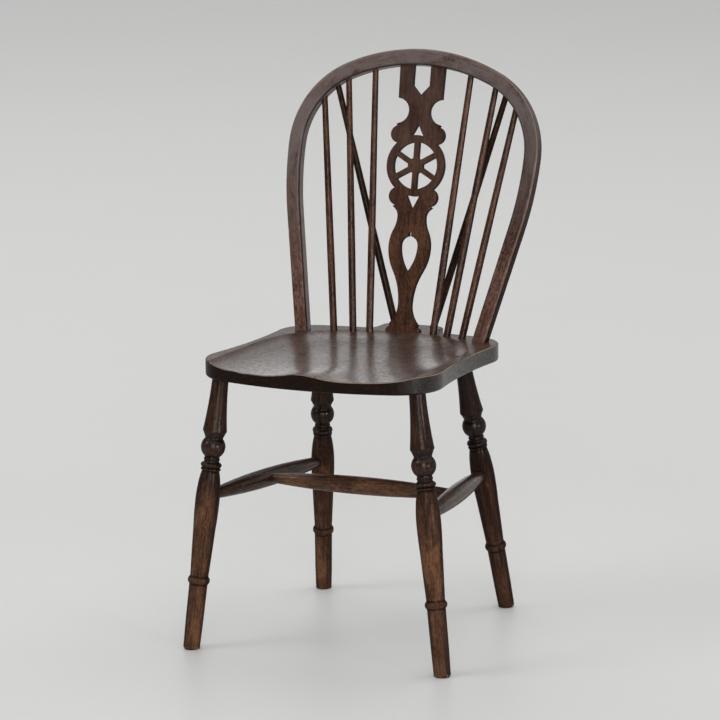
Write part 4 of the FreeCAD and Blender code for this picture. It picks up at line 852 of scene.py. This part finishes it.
class CHAIR_OT_stage(ChairOperator, bpy.types.Operator):
    """Make the floor, the light and the camera"""

    bl_idname = "chair.stage"
    bl_label = "Floor, light and camera"

    def execute(self, context):
        stage = self.settings(context).stage
        scene = context.scene
        scene.view_settings.view_transform = "Standard"
        self.make_floor(scene, stage)
        self.make_light(scene, stage)
        camera = bpy.data.objects.new("camera", bpy.data.cameras.new("camera"))
        camera.data.lens = stage.lens
        camera.matrix_world = camera_place(stage)
        scene.collection.objects.link(camera)
        scene.camera = camera
        return {"FINISHED"}

    def make_floor(self, scene, stage):
        """One wide pale floor, with painted light under the chair that lightens its shadow, and painted shade
        far from it.
        """
        corners = ((-1, -1), (1, -1), (1, 1), (-1, 1))
        mesh = bpy.data.meshes.new("floor")
        mesh.from_pydata([(x * FLOOR_REACH, y * FLOOR_REACH, 0) for x, y in corners], [], [(0, 1, 2, 3)])
        floor = bpy.data.objects.new("floor", mesh)
        scene.collection.objects.link(floor)
        shader = Shader("floor_paint")
        place = shader.position()
        near, far = (tuple(c * level for c in stage.floor) for level in (FLOOR_NEAR_PAINTED_LIGHT, FLOOR_FAR_PAINTED_SHADE))
        away = shader.node("ShaderNodeVectorMath", {"operation": "LENGTH"}, {0: place}, output="Value")
        spots = shader.noise(place, (1.4, 1.4, 1.4), detail=3, rough=0.5)
        # Painted light near the chair, and painted shade far from it
        tint = shader.mix(shader.smooth(away, *NEAR_FADE), near, tuple(stage.floor))
        tint = shader.mix(spots * 0.04, tint, (0, 0, 0))
        tint = shader.mix(shader.smooth(away, *FAR_FADE), tint, far)
        shader.fill(shader.surface.inputs["Base Color"], tint)
        shader.surface.inputs["Roughness"].default_value = FLOOR_ROUGHNESS
        shader.surface.inputs["Specular IOR Level"].default_value = FLOOR_GLOSS
        mesh.materials.append(shader.material)

    def make_light(self, scene, stage):
        """An even sky with a low glow behind the chair, and soft lamps over and round it."""
        world = bpy.data.worlds.new("soft_sky")
        world.use_nodes = True
        scene.world = world
        sky = Shader.over(world.node_tree)
        toward = sky.node("ShaderNodeTexCoord", output="Generated")
        behind = sky.smooth(sky.part(toward, 1), -0.1, 0.7)
        low = sky.smooth(sky.part(toward, 2), 0.4, 0.03)
        background = world.node_tree.nodes["Background"]
        background.inputs["Color"].default_value = (1, 1, 1, 1)
        strength = behind * low * (stage.backdrop_glow - stage.sky) + stage.sky
        sky.fill(background.inputs["Strength"], strength)
        self.make_lamp(scene, "overhead_lamp", (0, 0, 1), OVERHEAD_WIDTH, stage.overhead)
        for name, (direction, width, level) in SIDE_LAMPS.items():
            self.make_lamp(scene, name, direction, width, stage.side * level)

    @staticmethod
    def make_lamp(scene, name, direction, width, strength):
        """A soft lamp far away in one direction, with its width in degrees."""
        lamp = bpy.data.lights.new(name, "SUN")
        lamp.angle = math.radians(width)
        lamp.energy = strength
        light = bpy.data.objects.new(name, lamp)
        light.matrix_world = Vector(direction).to_track_quat("Z", "Y").to_matrix().to_4x4()
        scene.collection.objects.link(light)


OPERATORS = (CHAIR_OT_seat, CHAIR_OT_bow, CHAIR_OT_splat, CHAIR_OT_sticks, CHAIR_OT_legs,
             CHAIR_OT_stretchers, CHAIR_OT_stage)


class CHAIR_PT_panel(bpy.types.Panel):
    """The chair's operators in the sidebar"""

    bl_label = "Wheelback chair"
    bl_idname = "CHAIR_PT_panel"
    bl_space_type = "VIEW_3D"
    bl_region_type = "UI"
    bl_category = "Chair"

    def draw(self, context):
        for operator in OPERATORS:
            self.layout.operator(operator.bl_idname)


CLASSES = (SeatFinish, BowFinish, SplatFinish, StickFinish, LegFinish, StageSettings, ChairSettings,
           *OPERATORS, CHAIR_PT_panel)


def register():
    for each in CLASSES:
        bpy.utils.register_class(each)
    bpy.types.Scene.wheelback_chair = PointerProperty(type=ChairSettings)


def unregister():
    del bpy.types.Scene.wheelback_chair
    for each in reversed(CLASSES):
        bpy.utils.unregister_class(each)


def main():
    register()
    for operator in OPERATORS:
        group, name = operator.bl_idname.split(".")
        getattr(getattr(bpy.ops, group), name)()


if __name__ == "__main__":
    main()
